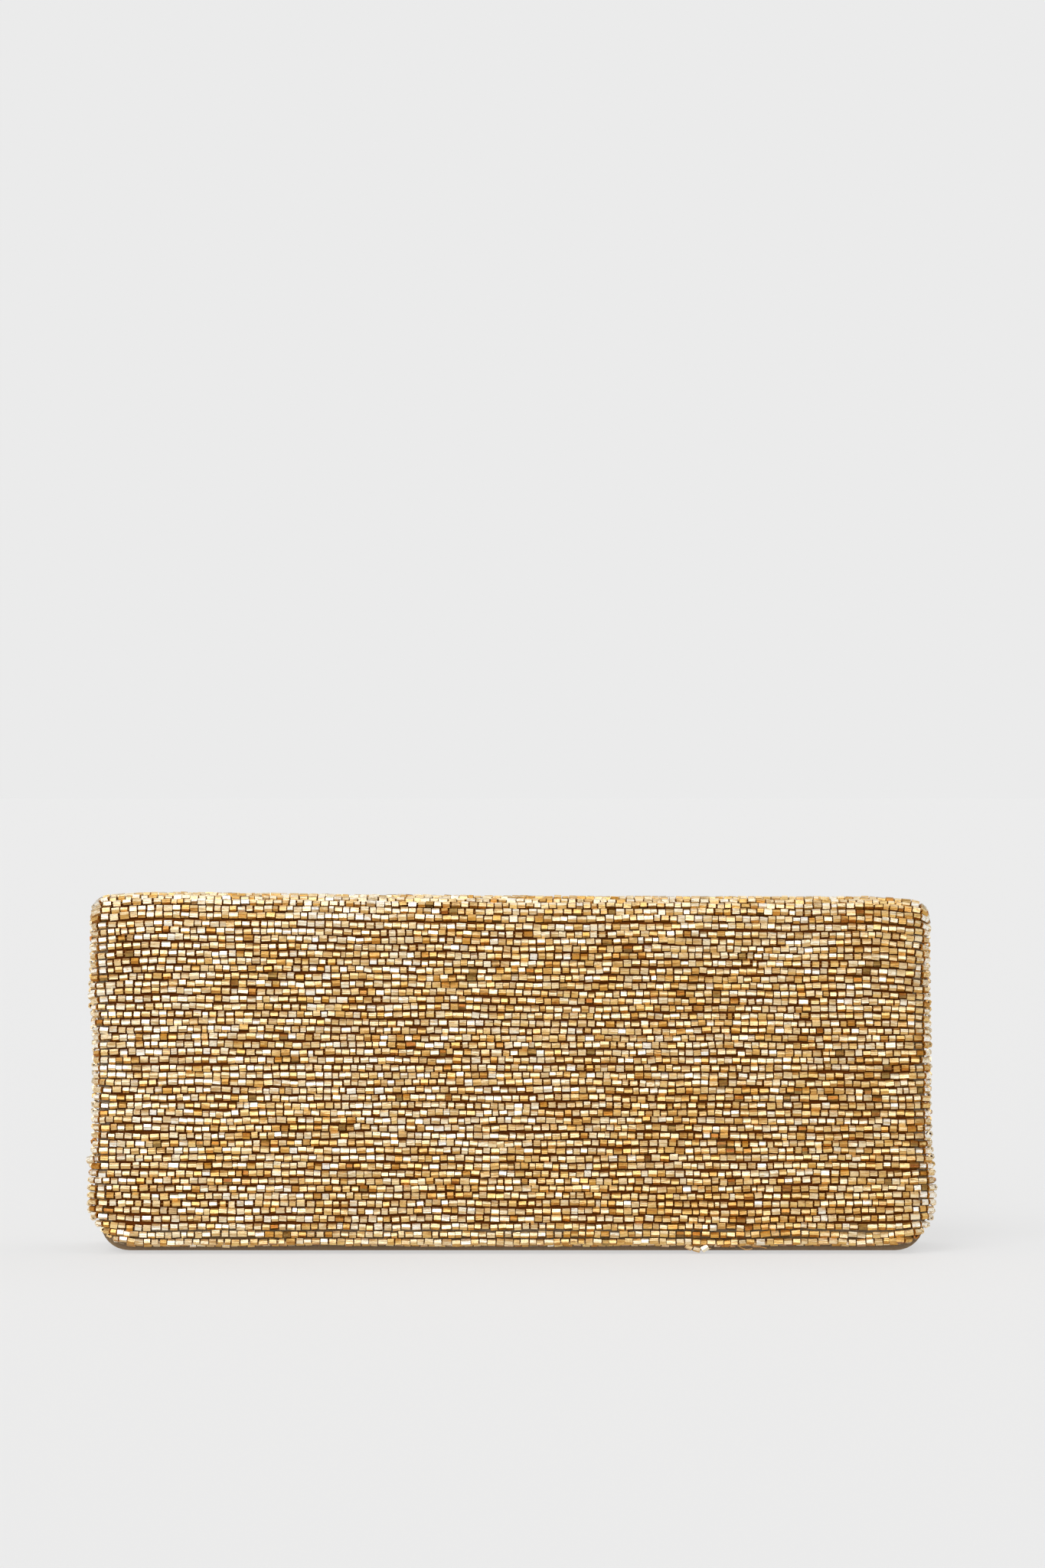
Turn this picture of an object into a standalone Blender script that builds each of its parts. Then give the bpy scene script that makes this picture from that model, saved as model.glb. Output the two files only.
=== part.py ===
"""Evening bag: a beaded fold-over clutch with a full front flap, a soft fold and a lined pouch.

The bag stands on its base, +Z up, front towards -Y, width along X. The origin is on the floor, in
the middle of the base. The beaded cloth runs up the back, over the fold and down the front as the
flap. Every flat layer is drawn in the frame of its own wall: local Z points out of the bag and
local Y runs along the cloth towards the back's lower edge.
"""

from math import cos, pi, radians, sin, sqrt, tan

import bmesh
import bpy
from mathutils import Matrix, Vector

# Overall size
WIDTH = 0.240               # across the beaded cloth
HEIGHT = 0.1023             # floor to the top of the fold
LEAN = radians(5.0)         # how far each wall leans in from the base to the fold
EDGE_HEIGHT = 0.0022        # floor to the lower edge of the flap and of the back's beading
LOWER_CORNER = 0.0095       # corner radius at the bottom of the beaded cloth
UPPER_CORNER = 0.0065       # corner radius where the fold meets the sides

# The fold, which bends along parallel lines
STRIPS = 5                  # strips of cloth between the bending lines
STRIP_LENGTH = 0.0043       # one strip, wide enough for two rows of beads
STRIP_GAP = 0.0003          # between neighbouring strips, measured along the cloth
LINING_STRIP_GAP = 0.0008   # the same inside the fold, where the cloth closes up
FOLD_EASE = 0.0015          # how far the stiff layers stop short of the first bending line
OPENING = pi                # how far the flap turns back from shut to fully open

# Layers, from the beads inwards
GAP = 0.0003                # between neighbouring layers
BEADS = 0.0020              # how far the beads stand off their cloth
CLOTH = 0.0004              # backing cloth, satin and lining
PADDING = 0.0008            # felt behind the beading
BOARD = 0.0008              # stiff board in each wall
FRONT_PADDING = 0.0006      # felt in the pouch's front wall
BASE_BOARD = 0.0012         # stiff board in the base

# The pouch
SIDE_INSET = 0.0020         # pouch narrower than the beaded cloth, each side
POUCH_CORNER = 0.0080       # corner radius at the bottom of the pouch
LAYER_INSET = 0.0022        # boards and felt stop this far inside the cloth's outline
FRONT_DROP = 0.0090         # front wall's top edge below the first bending line
FRONT_CLEARANCE = 0.0012    # between the flap's lining and the front wall
WALL_FOOT = 0.0005          # floor to the lower edge of the front wall
BINDING_HEIGHT = 0.0018     # binding along the mouth
BASE_RISE = 0.0090          # how far the base turns up round the corners
GUSSET_FOLD = 0.0070        # how far the gussets fold in at the mouth
GUSSET_CLOTH = 0.0005
GUSSET_ROWS = 6

# Slip pocket on the back lining
POCKET_WIDTH = 0.120
POCKET_HEIGHT = 0.045
POCKET_FOOT = 0.020         # back lining's lower edge to the pocket's
HEM = 0.0035

# Magnetic snap
SNAP_RISE = 0.024           # flap's lower edge to the middle of the snap
SNAP_RADIUS = 0.0070
SNAP_EASE = 0.0003          # round the snap's pieces in their holes
STUD_DISC = 0.0006
POST_RADIUS = 0.0022
POST_EASE = 0.0005          # between the post and the hole it enters
POST_LENGTH = 0.0014
SHANK_RADIUS = 0.0014
SHELL_WALL = 0.0004
SHELL_DEPTH = 0.0024
MAGNET_DEPTH = 0.0009
WASHER_RADIUS = 0.0060
WASHER = 0.0004
SOCKET_WASHER_RADIUS = 0.0090
TURNED_STEPS = 24

ARC_STEPS = 6               # straight pieces in a quarter round corner

# Worked out from the sizes above
TURN = (pi - 2 * LEAN) / (STRIPS + 1)                 # bend at each line when the bag is shut
FOLD_RADIUS = STRIP_LENGTH / 2 / tan(TURN / 2)        # middle of the fold to the middle of a strip
FOLD_CORNER = STRIP_LENGTH / 2 / sin(TURN / 2)        # middle of the fold to a bending line
FOLD_MIDDLE = HEIGHT - BEADS - CLOTH / 2 - FOLD_RADIUS
SHOULDER = FOLD_MIDDLE + FOLD_CORNER * cos(TURN * STRIPS / 2)   # height of the first bending line
WALL_LENGTH = (SHOULDER - EDGE_HEIGHT) / cos(LEAN)    # beaded cloth from that line to its edge
UPRIGHT = pi / 2 - LEAN                               # outward direction of a wall, from +Z

BACKING = -CLOTH / 2                                  # inner face of the beaded cloth
FELT_FACE = BACKING - GAP
BOARD_FACE = FELT_FACE - PADDING - GAP
LINING_FACE = BOARD_FACE - BOARD - GAP
INNER_FACE = LINING_FACE - CLOTH
POUCH_FACE = INNER_FACE - FRONT_CLEARANCE             # outer face of the pouch's front wall

FRONT_FELT = -CLOTH - GAP                             # from here on, from that outer face
FRONT_BOARD = FRONT_FELT - FRONT_PADDING - GAP
FRONT_LINING = FRONT_BOARD - BOARD - GAP - WASHER - GAP
FRONT_INNER = FRONT_LINING - CLOTH


def clear_scene():
    """Remove whatever the scene holds."""
    for old in list(bpy.data.objects):
        bpy.data.objects.remove(old, do_unlink=True)


def material(name, colour, roughness, metallic=0.0):
    """A plain surface, made once and shared by name."""
    found = bpy.data.materials.get(name)
    if found:
        return found
    made = bpy.data.materials.new(name)
    made.use_nodes = True
    shader = made.node_tree.nodes["Principled BSDF"]
    shader.inputs["Base Color"].default_value = (*colour, 1.0)
    shader.inputs["Roughness"].default_value = roughness
    shader.inputs["Metallic"].default_value = metallic
    return made


def beading():
    return material("beading", (0.62, 0.47, 0.27), 0.25)


def satin():
    return material("satin", (0.50, 0.32, 0.12), 0.35)


def lining_satin():
    return material("lining_satin", (0.70, 0.56, 0.34), 0.40)


def felt():
    return material("felt", (0.78, 0.74, 0.66), 0.95)


def card():
    return material("card", (0.45, 0.38, 0.28), 0.80)


def gilt_metal():
    return material("gilt_metal", (0.75, 0.58, 0.28), 0.25, 1.0)


def magnet():
    return material("magnet", (0.20, 0.20, 0.21), 0.45, 1.0)


def finish(obj, surface, parent=None):
    """Give an object its surface, its collection and its parent."""
    obj.data.materials.clear()
    obj.data.materials.append(surface)
    bag.objects.link(obj)
    obj.parent = parent
    return obj


def empty_at(name, place, outward=0.0, parent=None):
    """An empty, turned so that local Z points in the outward direction."""
    empty = bpy.data.objects.new(name, None)
    empty.empty_display_size = 0.01
    empty.location = place if parent is None else place - parent.location
    empty.rotation_euler = (-outward, 0.0, 0.0)
    empty.parent = parent
    bag.objects.link(empty)
    return empty


def bending_line(number):
    """Where the fold bends: line 0 tops the back, the last line tops the flap."""
    angle = TURN * (STRIPS / 2 - number)
    return Vector((0.0, FOLD_CORNER * sin(angle), FOLD_MIDDLE + FOLD_CORNER * cos(angle)))


def rolling_axis(number):
    """The axis that a stretch of cloth turns about as the bag opens.

    The cloth bends a little at each line between the stretch and the back. What those small turns
    do together, from shut to fully open, is one turn about this point.
    """
    point = Vector((0.0, 0.0, 0.0))
    share = Matrix.Rotation(-OPENING / (STRIPS + 1), 3, "X")
    for hinge in [bending_line(before) for before in range(number)][::-1]:
        point = hinge + share @ (point - hinge)
    turn = OPENING * number / (STRIPS + 1)
    return point / 2 - Vector((1.0, 0.0, 0.0)).cross(point) / (2 * tan(turn / 2))


def corner(middle, radius, start):
    """A quarter round, anticlockwise from the start angle."""
    return [
        (middle[0] + radius * cos(start + pi / 2 * step / ARC_STEPS),
         middle[1] + radius * sin(start + pi / 2 * step / ARC_STEPS))
        for step in range(ARC_STEPS + 1)
    ]


def panel_outline(half_width, top, bottom, radius):
    """A wall's outline with square corners at the top and round ones at the bottom."""
    side = 1.0 if bottom > top else -1.0
    upper = corner((half_width - radius, abs(bottom - top) - radius), radius, 0.0)
    lower = corner((-half_width + radius, abs(bottom - top) - radius), radius, pi / 2)
    points = [(half_width, 0.0), *upper, *lower, (-half_width, 0.0)]
    return [(x, top + side * y) for x, y in points]


def circle(middle, radius, steps=TURNED_STEPS):
    """A round hole's outline."""
    return [
        (middle[0] + radius * cos(2 * pi * step / steps),
         middle[1] + radius * sin(2 * pi * step / steps))
        for step in range(steps)
    ]


def plate(name, parent, outlines, face, thickness, surface):
    """A flat layer: the first outline is its edge, the others are holes in it."""
    curve = bpy.data.curves.new(name, "CURVE")
    curve.dimensions = "2D"
    curve.fill_mode = "BOTH"
    curve.extrude = thickness / 2
    for outline in outlines:
        spline = curve.splines.new("POLY")
        spline.points.add(len(outline) - 1)
        for point, (x, y) in zip(spline.points, outline):
            point.co = (x, y, 0.0, 1.0)
        spline.use_cyclic_u = True
    obj = bpy.data.objects.new(name, curve)
    obj.location = (0.0, 0.0, face - thickness / 2)
    return finish(obj, surface, parent)


def turned(name, parent, profile, place, surface, closed):
    """A round piece, from a profile that runs down its outer side."""
    mesh = bpy.data.meshes.new(name)
    points = [(radius, 0.0, height) for radius, height in profile]
    edges = [(n, n + 1) for n in range(len(points) - 1)]
    if closed:
        edges.append((len(points) - 1, 0))
    mesh.from_pydata(points, edges, [])
    obj = bpy.data.objects.new(name, mesh)
    obj.location = place
    screw = obj.modifiers.new("turn", "SCREW")
    screw.steps = TURNED_STEPS
    screw.render_steps = TURNED_STEPS
    screw.use_merge_vertices = True
    screw.merge_threshold = 0.00001
    return finish(obj, surface, parent)


def mesh_object(name, mesh_data, surface, parent=None):
    """An object from an edited mesh, with its faces turned outwards."""
    bmesh.ops.recalc_face_normals(mesh_data, faces=mesh_data.faces[:])
    mesh = bpy.data.meshes.new(name)
    mesh_data.to_mesh(mesh)
    mesh_data.free()
    return finish(bpy.data.objects.new(name, mesh), surface, parent)


# The walls' inner faces at a height above the floor


def back_inner(height):
    """How far back the back lining's inner face is."""
    return wall_reach(height) + INNER_FACE / cos(LEAN)


def front_inner(height):
    """How far forward the front lining's inner face is, as a negative Y."""
    return -(wall_reach(height) + (POUCH_FACE + FRONT_INNER) / cos(LEAN))


def wall_reach(height):
    """The beaded cloth's distance from the middle plane."""
    return bending_line(0).y + (SHOULDER - height) * tan(LEAN)


# The beaded cloth


def top_inset(drop):
    """How far the round top corners take the cloth in at a drop below the crest."""
    rise = max(UPPER_CORNER - drop, 0.0)
    return UPPER_CORNER - sqrt(UPPER_CORNER ** 2 - rise ** 2)


def fold_strips():
    """The strips of the fold, each with its piece of lining, on their bending lines."""
    for number in range(STRIPS):
        outward = TURN * ((STRIPS - 1) / 2 - number)
        hinge = bending_line(number)
        axis = empty_at(f"fold_axis_{number + 1}", rolling_axis(number + 1))
        frame = empty_at(f"fold_frame_{number + 1}", hinge, outward, axis)
        # half the beads' height: where the corner's roundness is taken
        lift = (BEADS / 2) * cos(outward)
        near = WIDTH / 2 - top_inset(HEIGHT - hinge.z - lift)
        far = WIDTH / 2 - top_inset(HEIGHT - bending_line(number + 1).z - lift)
        for name, face, thickness, gap, surface in (
            (f"fold_beading_{number + 1}", BEADS + CLOTH / 2, BEADS + CLOTH, STRIP_GAP, beading()),
            (f"fold_lining_{number + 1}", BACKING - GAP, CLOTH, LINING_STRIP_GAP, lining_satin()),
        ):
            start = -gap / 2
            end = gap / 2 - STRIP_LENGTH
            outline = [(near, start), (-near, start), (-far, end), (far, end)]
            plate(name, frame, [outline], face, thickness, surface)


def wall_layers(prefix, frame, side, stiff, holes):
    """Beading, felt, board and lining of the back (side is 1) or the flap (side is -1)."""
    beaded = panel_outline(WIDTH / 2, side * STRIP_GAP / 2, side * WALL_LENGTH, LOWER_CORNER)
    plate(f"{prefix}_beading", frame, [beaded], BEADS + CLOTH / 2, BEADS + CLOTH, beading())
    plate(f"{prefix}_padding", frame, [stiff, *holes["felt"]], FELT_FACE, PADDING, felt())
    plate(f"{prefix}_board", frame, [stiff, *holes["board"]], BOARD_FACE, BOARD, card())
    plate(f"{prefix}_lining", frame, [stiff, *holes["lining"]], LINING_FACE, CLOTH, lining_satin())


def back_wall():
    """The back, with the slip pocket on its lining."""
    frame = empty_at("back_frame", bending_line(0), UPRIGHT)
    foot = (SHOULDER - WALL_FOOT) / cos(LEAN)
    stiff = panel_outline(WIDTH / 2 - SIDE_INSET, FOLD_EASE, foot, POUCH_CORNER)
    wall_layers("back", frame, 1.0, stiff, {"felt": [], "board": [], "lining": []})
    seam = foot - POCKET_FOOT
    mouth = seam - POCKET_HEIGHT
    half = POCKET_WIDTH / 2
    pocket = [(half, seam), (-half, seam), (-half, mouth), (half, mouth)]
    hem = [(half, mouth - GAP), (-half, mouth - GAP), (-half, mouth - HEM), (half, mouth - HEM)]
    plate("slip_pocket", frame, [pocket], INNER_FACE - GAP, CLOTH, lining_satin())
    plate("pocket_hem", frame, [hem], INNER_FACE - GAP, CLOTH + GAP, satin())


def flap():
    """The flap, with the stud half of the snap."""
    axis = empty_at("flap_axis", rolling_axis(STRIPS + 1))
    frame = empty_at("flap_frame", bending_line(STRIPS), -UPRIGHT, axis)
    middle = (0.0, SNAP_RISE - WALL_LENGTH)
    shank_hole = [circle(middle, SHANK_RADIUS + SNAP_EASE)]
    holes = {
        "felt": [circle(middle, WASHER_RADIUS + SNAP_EASE)],
        "board": shank_hole,
        "lining": shank_hole,
    }
    corner_inside = LOWER_CORNER - LAYER_INSET
    lower_edge = LAYER_INSET - WALL_LENGTH
    stiff = panel_outline(WIDTH / 2 - LAYER_INSET, -FOLD_EASE, lower_edge, corner_inside)
    wall_layers("flap", frame, -1.0, stiff, holes)
    place = (*middle, 0.0)
    disc = INNER_FACE - GAP
    stud = [
        (0.0, FELT_FACE),
        (SHANK_RADIUS, FELT_FACE),
        (SHANK_RADIUS, disc),
        (SNAP_RADIUS, disc),
        (SNAP_RADIUS, disc - STUD_DISC),
        (POST_RADIUS, disc - STUD_DISC),
        (POST_RADIUS, disc - STUD_DISC - POST_LENGTH),
        (0.0, disc - STUD_DISC - POST_LENGTH),
    ]
    turned("snap_stud", frame, stud, place, gilt_metal(), False)
    washer_top = FELT_FACE - (PADDING - WASHER) / 2
    washer = ring_profile(SHANK_RADIUS + SNAP_EASE, WASHER_RADIUS, washer_top, WASHER)
    turned("stud_washer", frame, washer, place, gilt_metal(), True)


# The pouch


def front_wall():
    """The pouch's front wall, in a frame on its lower edge, with the socket half of the snap."""
    up = Vector((0.0, sin(LEAN), cos(LEAN)))
    outwards = Vector((0.0, -cos(LEAN), sin(LEAN)))
    top = bending_line(STRIPS)
    down = (WALL_FOOT - top.z - POUCH_FACE * sin(LEAN)) / cos(LEAN)
    frame = empty_at("front_wall_axis", top + up * down + outwards * POUCH_FACE, -UPRIGHT)
    half = WIDTH / 2 - SIDE_INSET
    height = (SHOULDER - FRONT_DROP - WALL_FOOT) / cos(LEAN)
    cover = panel_outline(half, height, 0.0, POUCH_CORNER)
    stiff_corner = POUCH_CORNER - LAYER_INSET
    stiff = panel_outline(half - LAYER_INSET, height, LAYER_INSET, stiff_corner)
    middle = (0.0, SNAP_RISE - WALL_LENGTH - down)
    hole = circle(middle, SNAP_RADIUS + SNAP_EASE)
    plate("front_cover", frame, [cover, hole], 0.0, CLOTH, satin())
    plate("front_padding", frame, [stiff, hole], FRONT_FELT, FRONT_PADDING, felt())
    plate("front_board", frame, [stiff, hole], FRONT_BOARD, BOARD, card())
    plate("front_lining", frame, [cover], FRONT_LINING, CLOTH, lining_satin())
    mouth_binding(frame, half, height)
    socket(frame, middle)


def mouth_binding(frame, half, height):
    """The rounded binding that closes the front wall's layers along the mouth."""
    low = Vector((-half, height + GAP, FRONT_INNER))
    high = Vector((half, height + BINDING_HEIGHT, 0.0))
    box = bmesh.new()
    bmesh.ops.create_cube(box, size=1.0)
    for vert in box.verts:
        vert.co = low + (vert.co + Vector((0.5, 0.5, 0.5))) * (high - low)
    binding = mesh_object("mouth_binding", box, satin(), frame)
    rounding = binding.modifiers.new("round", "BEVEL")
    rounding.width = BINDING_HEIGHT / 3
    rounding.segments = 3


def socket(frame, middle):
    """The snap's socket: a shell sunk in the front wall, its ring magnet and its washer."""
    place = (*middle, 0.0)
    mouth = POST_RADIUS + POST_EASE
    inside = SNAP_RADIUS - SHELL_WALL
    shell = [
        (mouth, 0.0),
        (SNAP_RADIUS, 0.0),
        (SNAP_RADIUS, -SHELL_DEPTH),
        (inside, -SHELL_DEPTH),
        (inside, -SHELL_WALL),
        (mouth, -SHELL_WALL),
    ]
    turned("socket_shell", frame, shell, place, gilt_metal(), True)
    face = -SHELL_WALL - GAP
    ring = ring_profile(mouth + GAP, inside - GAP, face, MAGNET_DEPTH)
    turned("socket_magnet", frame, ring, place, magnet(), True)
    washer = ring_profile(mouth, SOCKET_WASHER_RADIUS, FRONT_BOARD - BOARD - GAP, WASHER)
    turned("socket_washer", frame, washer, place, gilt_metal(), True)


def ring_profile(inner, outer, face, depth):
    """A flat ring's profile, from its face inwards."""
    return [(inner, face), (outer, face), (outer, face - depth), (inner, face - depth)]


def turned_up(depth, half, radius):
    """A line that follows the pouch's outline at a depth inside it: down, along and up."""
    inner = radius - depth
    left = corner((-half + radius, radius), inner, pi)
    right = corner((half - radius, radius), inner, -pi / 2)
    return [(-half + depth, BASE_RISE), *left, *right, (half - depth, BASE_RISE)]


def base():
    """Cover, board and lining of the base, turned up round the corners between the walls."""
    half = WIDTH / 2 - SIDE_INSET
    depth = 0.0
    for name, thickness, surface in (
        ("base_cover", CLOTH, satin()),
        ("base_board", BASE_BOARD, card()),
        ("base_lining", CLOTH, lining_satin()),
    ):
        outside = turned_up(depth, half, POUCH_CORNER)
        inside = turned_up(depth + thickness, half, POUCH_CORNER)
        between_walls(name, outside + inside[::-1], surface)
        depth += thickness + GAP


def between_walls(name, outline, surface):
    """A layer with this outline, from the front wall's inner face to the back's."""
    layer = bmesh.new()
    front = [layer.verts.new((x, front_inner(z) + GAP, z)) for x, z in outline]
    grown = bmesh.ops.extrude_face_region(layer, geom=[layer.faces.new(front)])
    for vert in grown["geom"]:
        if isinstance(vert, bmesh.types.BMVert):
            vert.co.y = back_inner(vert.co.z) - GAP
    mesh_object(name, layer, surface)


def gusset(name, side):
    """A side of the pouch, folded inwards more and more towards the mouth."""
    foot = BASE_RISE + GAP
    rise = SHOULDER - FRONT_DROP - foot
    half = WIDTH / 2 - SIDE_INSET - GUSSET_CLOTH
    cloth = bmesh.new()
    bmesh.ops.create_grid(cloth, x_segments=2, y_segments=GUSSET_ROWS, size=0.5)
    for vert in cloth.verts:
        across = vert.co.x + 0.5
        share = vert.co.y + 0.5
        height = foot + rise * share
        start = front_inner(height) + GAP
        end = back_inner(height) - GAP
        fold = GUSSET_FOLD * share * (1.0 - abs(2.0 * across - 1.0))
        vert.co = (side * (half - fold), start + (end - start) * across, height)
    obj = mesh_object(name, cloth, satin())
    thicken = obj.modifiers.new("cloth", "SOLIDIFY")
    thicken.thickness = GUSSET_CLOTH
    outer_side = side * obj.data.polygons[0].normal.x
    thicken.offset = 1.0 if outer_side > 0 else -1.0


clear_scene()
bag = bpy.data.collections.new("evening_bag")
bpy.context.scene.collection.children.link(bag)
back_wall()
base()
gusset("gusset_left", -1.0)
gusset("gusset_right", 1.0)
front_wall()
fold_strips()
flap()
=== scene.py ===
"""Looks of a beaded evening bag: every bead, cloth, lining and fitting, built round the fixed frame.

All sizes are in metres in the frame's own axes: +Z up, the front towards -Y, the width along X.
"""
import logging
import math
from dataclasses import dataclass, field
from enum import Enum
from typing import Callable, Iterable, Sequence

import bmesh
import bpy
import numpy as np
from mathutils import Matrix, Vector


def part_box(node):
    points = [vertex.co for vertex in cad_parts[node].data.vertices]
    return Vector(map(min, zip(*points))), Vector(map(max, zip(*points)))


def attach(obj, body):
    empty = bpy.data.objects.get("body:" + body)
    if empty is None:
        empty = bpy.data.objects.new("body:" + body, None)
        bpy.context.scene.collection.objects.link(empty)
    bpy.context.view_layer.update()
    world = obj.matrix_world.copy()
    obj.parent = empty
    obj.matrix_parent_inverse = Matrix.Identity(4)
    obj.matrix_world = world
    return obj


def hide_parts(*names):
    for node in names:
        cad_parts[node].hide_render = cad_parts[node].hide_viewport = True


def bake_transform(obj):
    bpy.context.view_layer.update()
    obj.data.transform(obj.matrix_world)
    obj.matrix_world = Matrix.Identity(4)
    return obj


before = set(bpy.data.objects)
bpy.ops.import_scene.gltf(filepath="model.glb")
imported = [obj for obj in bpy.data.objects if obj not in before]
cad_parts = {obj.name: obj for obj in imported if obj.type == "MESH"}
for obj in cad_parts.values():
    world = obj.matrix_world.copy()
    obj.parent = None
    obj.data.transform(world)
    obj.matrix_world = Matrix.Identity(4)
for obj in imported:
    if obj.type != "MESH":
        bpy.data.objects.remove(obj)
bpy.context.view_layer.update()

log = logging.getLogger("evening_bag")

Array = np.ndarray
Socket = bpy.types.NodeSocket
Piece = bpy.types.Object
Material = bpy.types.Material

BEADS_UV = "OFBake"
TONE = "_tone"
FACET_LIGHT = "_facet_light"
MM = 0.001
BACK_HEM_DROP = 0.25 * MM
FLAP_HOLES = {"felt": 6.3 * MM, "lining": 1.7 * MM}


# ---------------------------------------------------------------------------------------------
# Small tools: noise, meshes, tubes and stitches
# ---------------------------------------------------------------------------------------------


def smooth_step(low: float, high: float, value: Array) -> Array:
    """Rise from 0 at low to 1 at high without a corner.

    Args:
        low: Where the rise starts.
        high: Where it ends.
        value: The values to read it at.

    Returns:
        The heights, from 0 to 1.
    """
    share = np.clip((value - low) / (high - low), 0.0, 1.0)
    return share * share * (3.0 - 2.0 * share)


def soft_noise(u: Array, v: Array, seed: int) -> Array:
    """Smooth noise over a square lattice.

    Args:
        u: First coordinate, in lattice steps.
        v: Second coordinate, in lattice steps.
        seed: Which noise.

    Returns:
        Values from -1 to 1.
    """
    size = 61
    table = np.random.default_rng(seed).uniform(-1.0, 1.0, (size, size))
    low_u, low_v = np.floor(u), np.floor(v)
    share_u = smooth_step(0.0, 1.0, u - low_u)
    share_v = smooth_step(0.0, 1.0, v - low_v)
    row, column = low_u.astype(int) % size, low_v.astype(int) % size
    next_row, next_column = (row + 1) % size, (column + 1) % size
    near = table[row, column] * (1 - share_v) + table[row, next_column] * share_v
    far = table[next_row, column] * (1 - share_v) + table[next_row, next_column] * share_v
    return near * (1 - share_u) + far * share_u


def quads_of(index: Array) -> Array:
    """Join a grid of point numbers into four-sided faces.

    Args:
        index: Point numbers, rows by columns.

    Returns:
        One row of four point numbers for each face.
    """
    corners = (index[:-1, :-1], index[:-1, 1:], index[1:, 1:], index[1:, :-1])
    return np.stack(corners, axis=-1).reshape(-1, 4)


def make_mesh(name: str, points: Array, faces: Iterable, tidy: bool = True) -> Piece:
    """Make an object from points and faces.

    Args:
        name: The piece's name.
        points: Its points, one row each.
        faces: Its faces, as point numbers.
        tidy: Whether to turn the faces outwards and shade them smooth up to sharp edges.

    Returns:
        The new object, linked to the scene.
    """
    mesh = bpy.data.meshes.new(name)
    mesh.from_pydata(np.asarray(points).tolist(), [], [list(map(int, face)) for face in faces])
    if tidy:
        work = bmesh.new()
        work.from_mesh(mesh)
        bmesh.ops.recalc_face_normals(work, faces=work.faces[:])
        work.to_mesh(mesh)
        work.free()
        mesh.shade_smooth()
        mesh.set_sharp_from_angle(angle=math.radians(50.0))
    mesh.update()
    made = bpy.data.objects.new(name, mesh)
    bpy.context.scene.collection.objects.link(made)
    return made


def closed_sheet(name: str, outer: Array, inner: Array) -> Piece:
    """Make a thin closed sheet from its two faces.

    Args:
        name: The piece's name.
        outer: A grid of points on the one face.
        inner: The same grid on the other face.

    Returns:
        The sheet.
    """
    rows, columns = outer.shape[:2]
    count = rows * columns
    index = np.arange(count).reshape(rows, columns)
    rim = np.concatenate([index[0, :-1], index[:-1, -1], index[-1, :0:-1], index[:0:-1, 0]])
    following = np.roll(rim, -1)
    wall = np.stack([rim, following, following + count, rim + count], axis=-1)
    faces = np.concatenate([quads_of(index), quads_of(index + count)[:, ::-1], wall])
    points = np.concatenate([outer.reshape(-1, 3), inner.reshape(-1, 3)])
    return make_mesh(name, points, faces)


def closed_roll(name: str, points: Array) -> Piece:
    """Make a roll of cloth from rings of points, closed at both ends.

    Args:
        name: The piece's name.
        points: Points as rings by places round a ring by three.

    Returns:
        The roll.
    """
    index = np.arange(points[..., 0].size).reshape(points.shape[:2])
    faces = quads_of(np.concatenate([index, index[:, :1]], axis=1)).tolist()
    faces.extend([index[0].tolist(), index[-1][::-1].tolist()])
    return make_mesh(name, points.reshape(-1, 3), faces)


def tube_points(path: Array, radius: float, sides: int, up: Array) -> Array:
    """Rings of points round a line.

    Args:
        path: The line's points.
        radius: The tube's radius.
        sides: Points in a ring.
        up: A direction that isn't along the line.

    Returns:
        Points as rings by sides by three.
    """
    along = np.gradient(path, axis=0)
    along /= np.linalg.norm(along, axis=1)[:, None]
    across = np.cross(along, up)
    across /= np.linalg.norm(across, axis=1)[:, None]
    over = np.cross(across, along)
    angles = np.arange(sides) * 2 * math.pi / sides
    ring = np.cos(angles)[None, :, None] * across[:, None] + np.sin(angles)[None, :, None] * over[:, None]
    return path[:, None] + radius * ring


@dataclass
class TubeBatch:
    """Many closed tubes gathered into one mesh."""

    sides: int = 6
    points: list = field(default_factory=list)
    faces: list = field(default_factory=list)
    count: int = 0

    def add(self, path: Array, radius: float, up: Array) -> None:
        """Add a tube with both ends closed.

        Args:
            path: Its centre line.
            radius: Its radius.
            up: A direction that isn't along the line.
        """
        rings = tube_points(path, radius, self.sides, up)
        length = len(path)
        index = np.arange(length * self.sides).reshape(length, self.sides) + self.count
        wrapped = np.concatenate([index, index[:, :1]], axis=1)
        self.points.append(rings.reshape(-1, 3))
        self.faces.extend(quads_of(wrapped).tolist())
        self.faces.append(index[0][::-1].tolist())
        self.faces.append(index[-1].tolist())
        self.count += length * self.sides

    def piece(self, name: str) -> Piece:
        """Make one object of all the tubes."""
        return make_mesh(name, np.concatenate(self.points), self.faces)


# ---------------------------------------------------------------------------------------------
# The bag's cut and how its cloth hangs
# ---------------------------------------------------------------------------------------------


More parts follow.
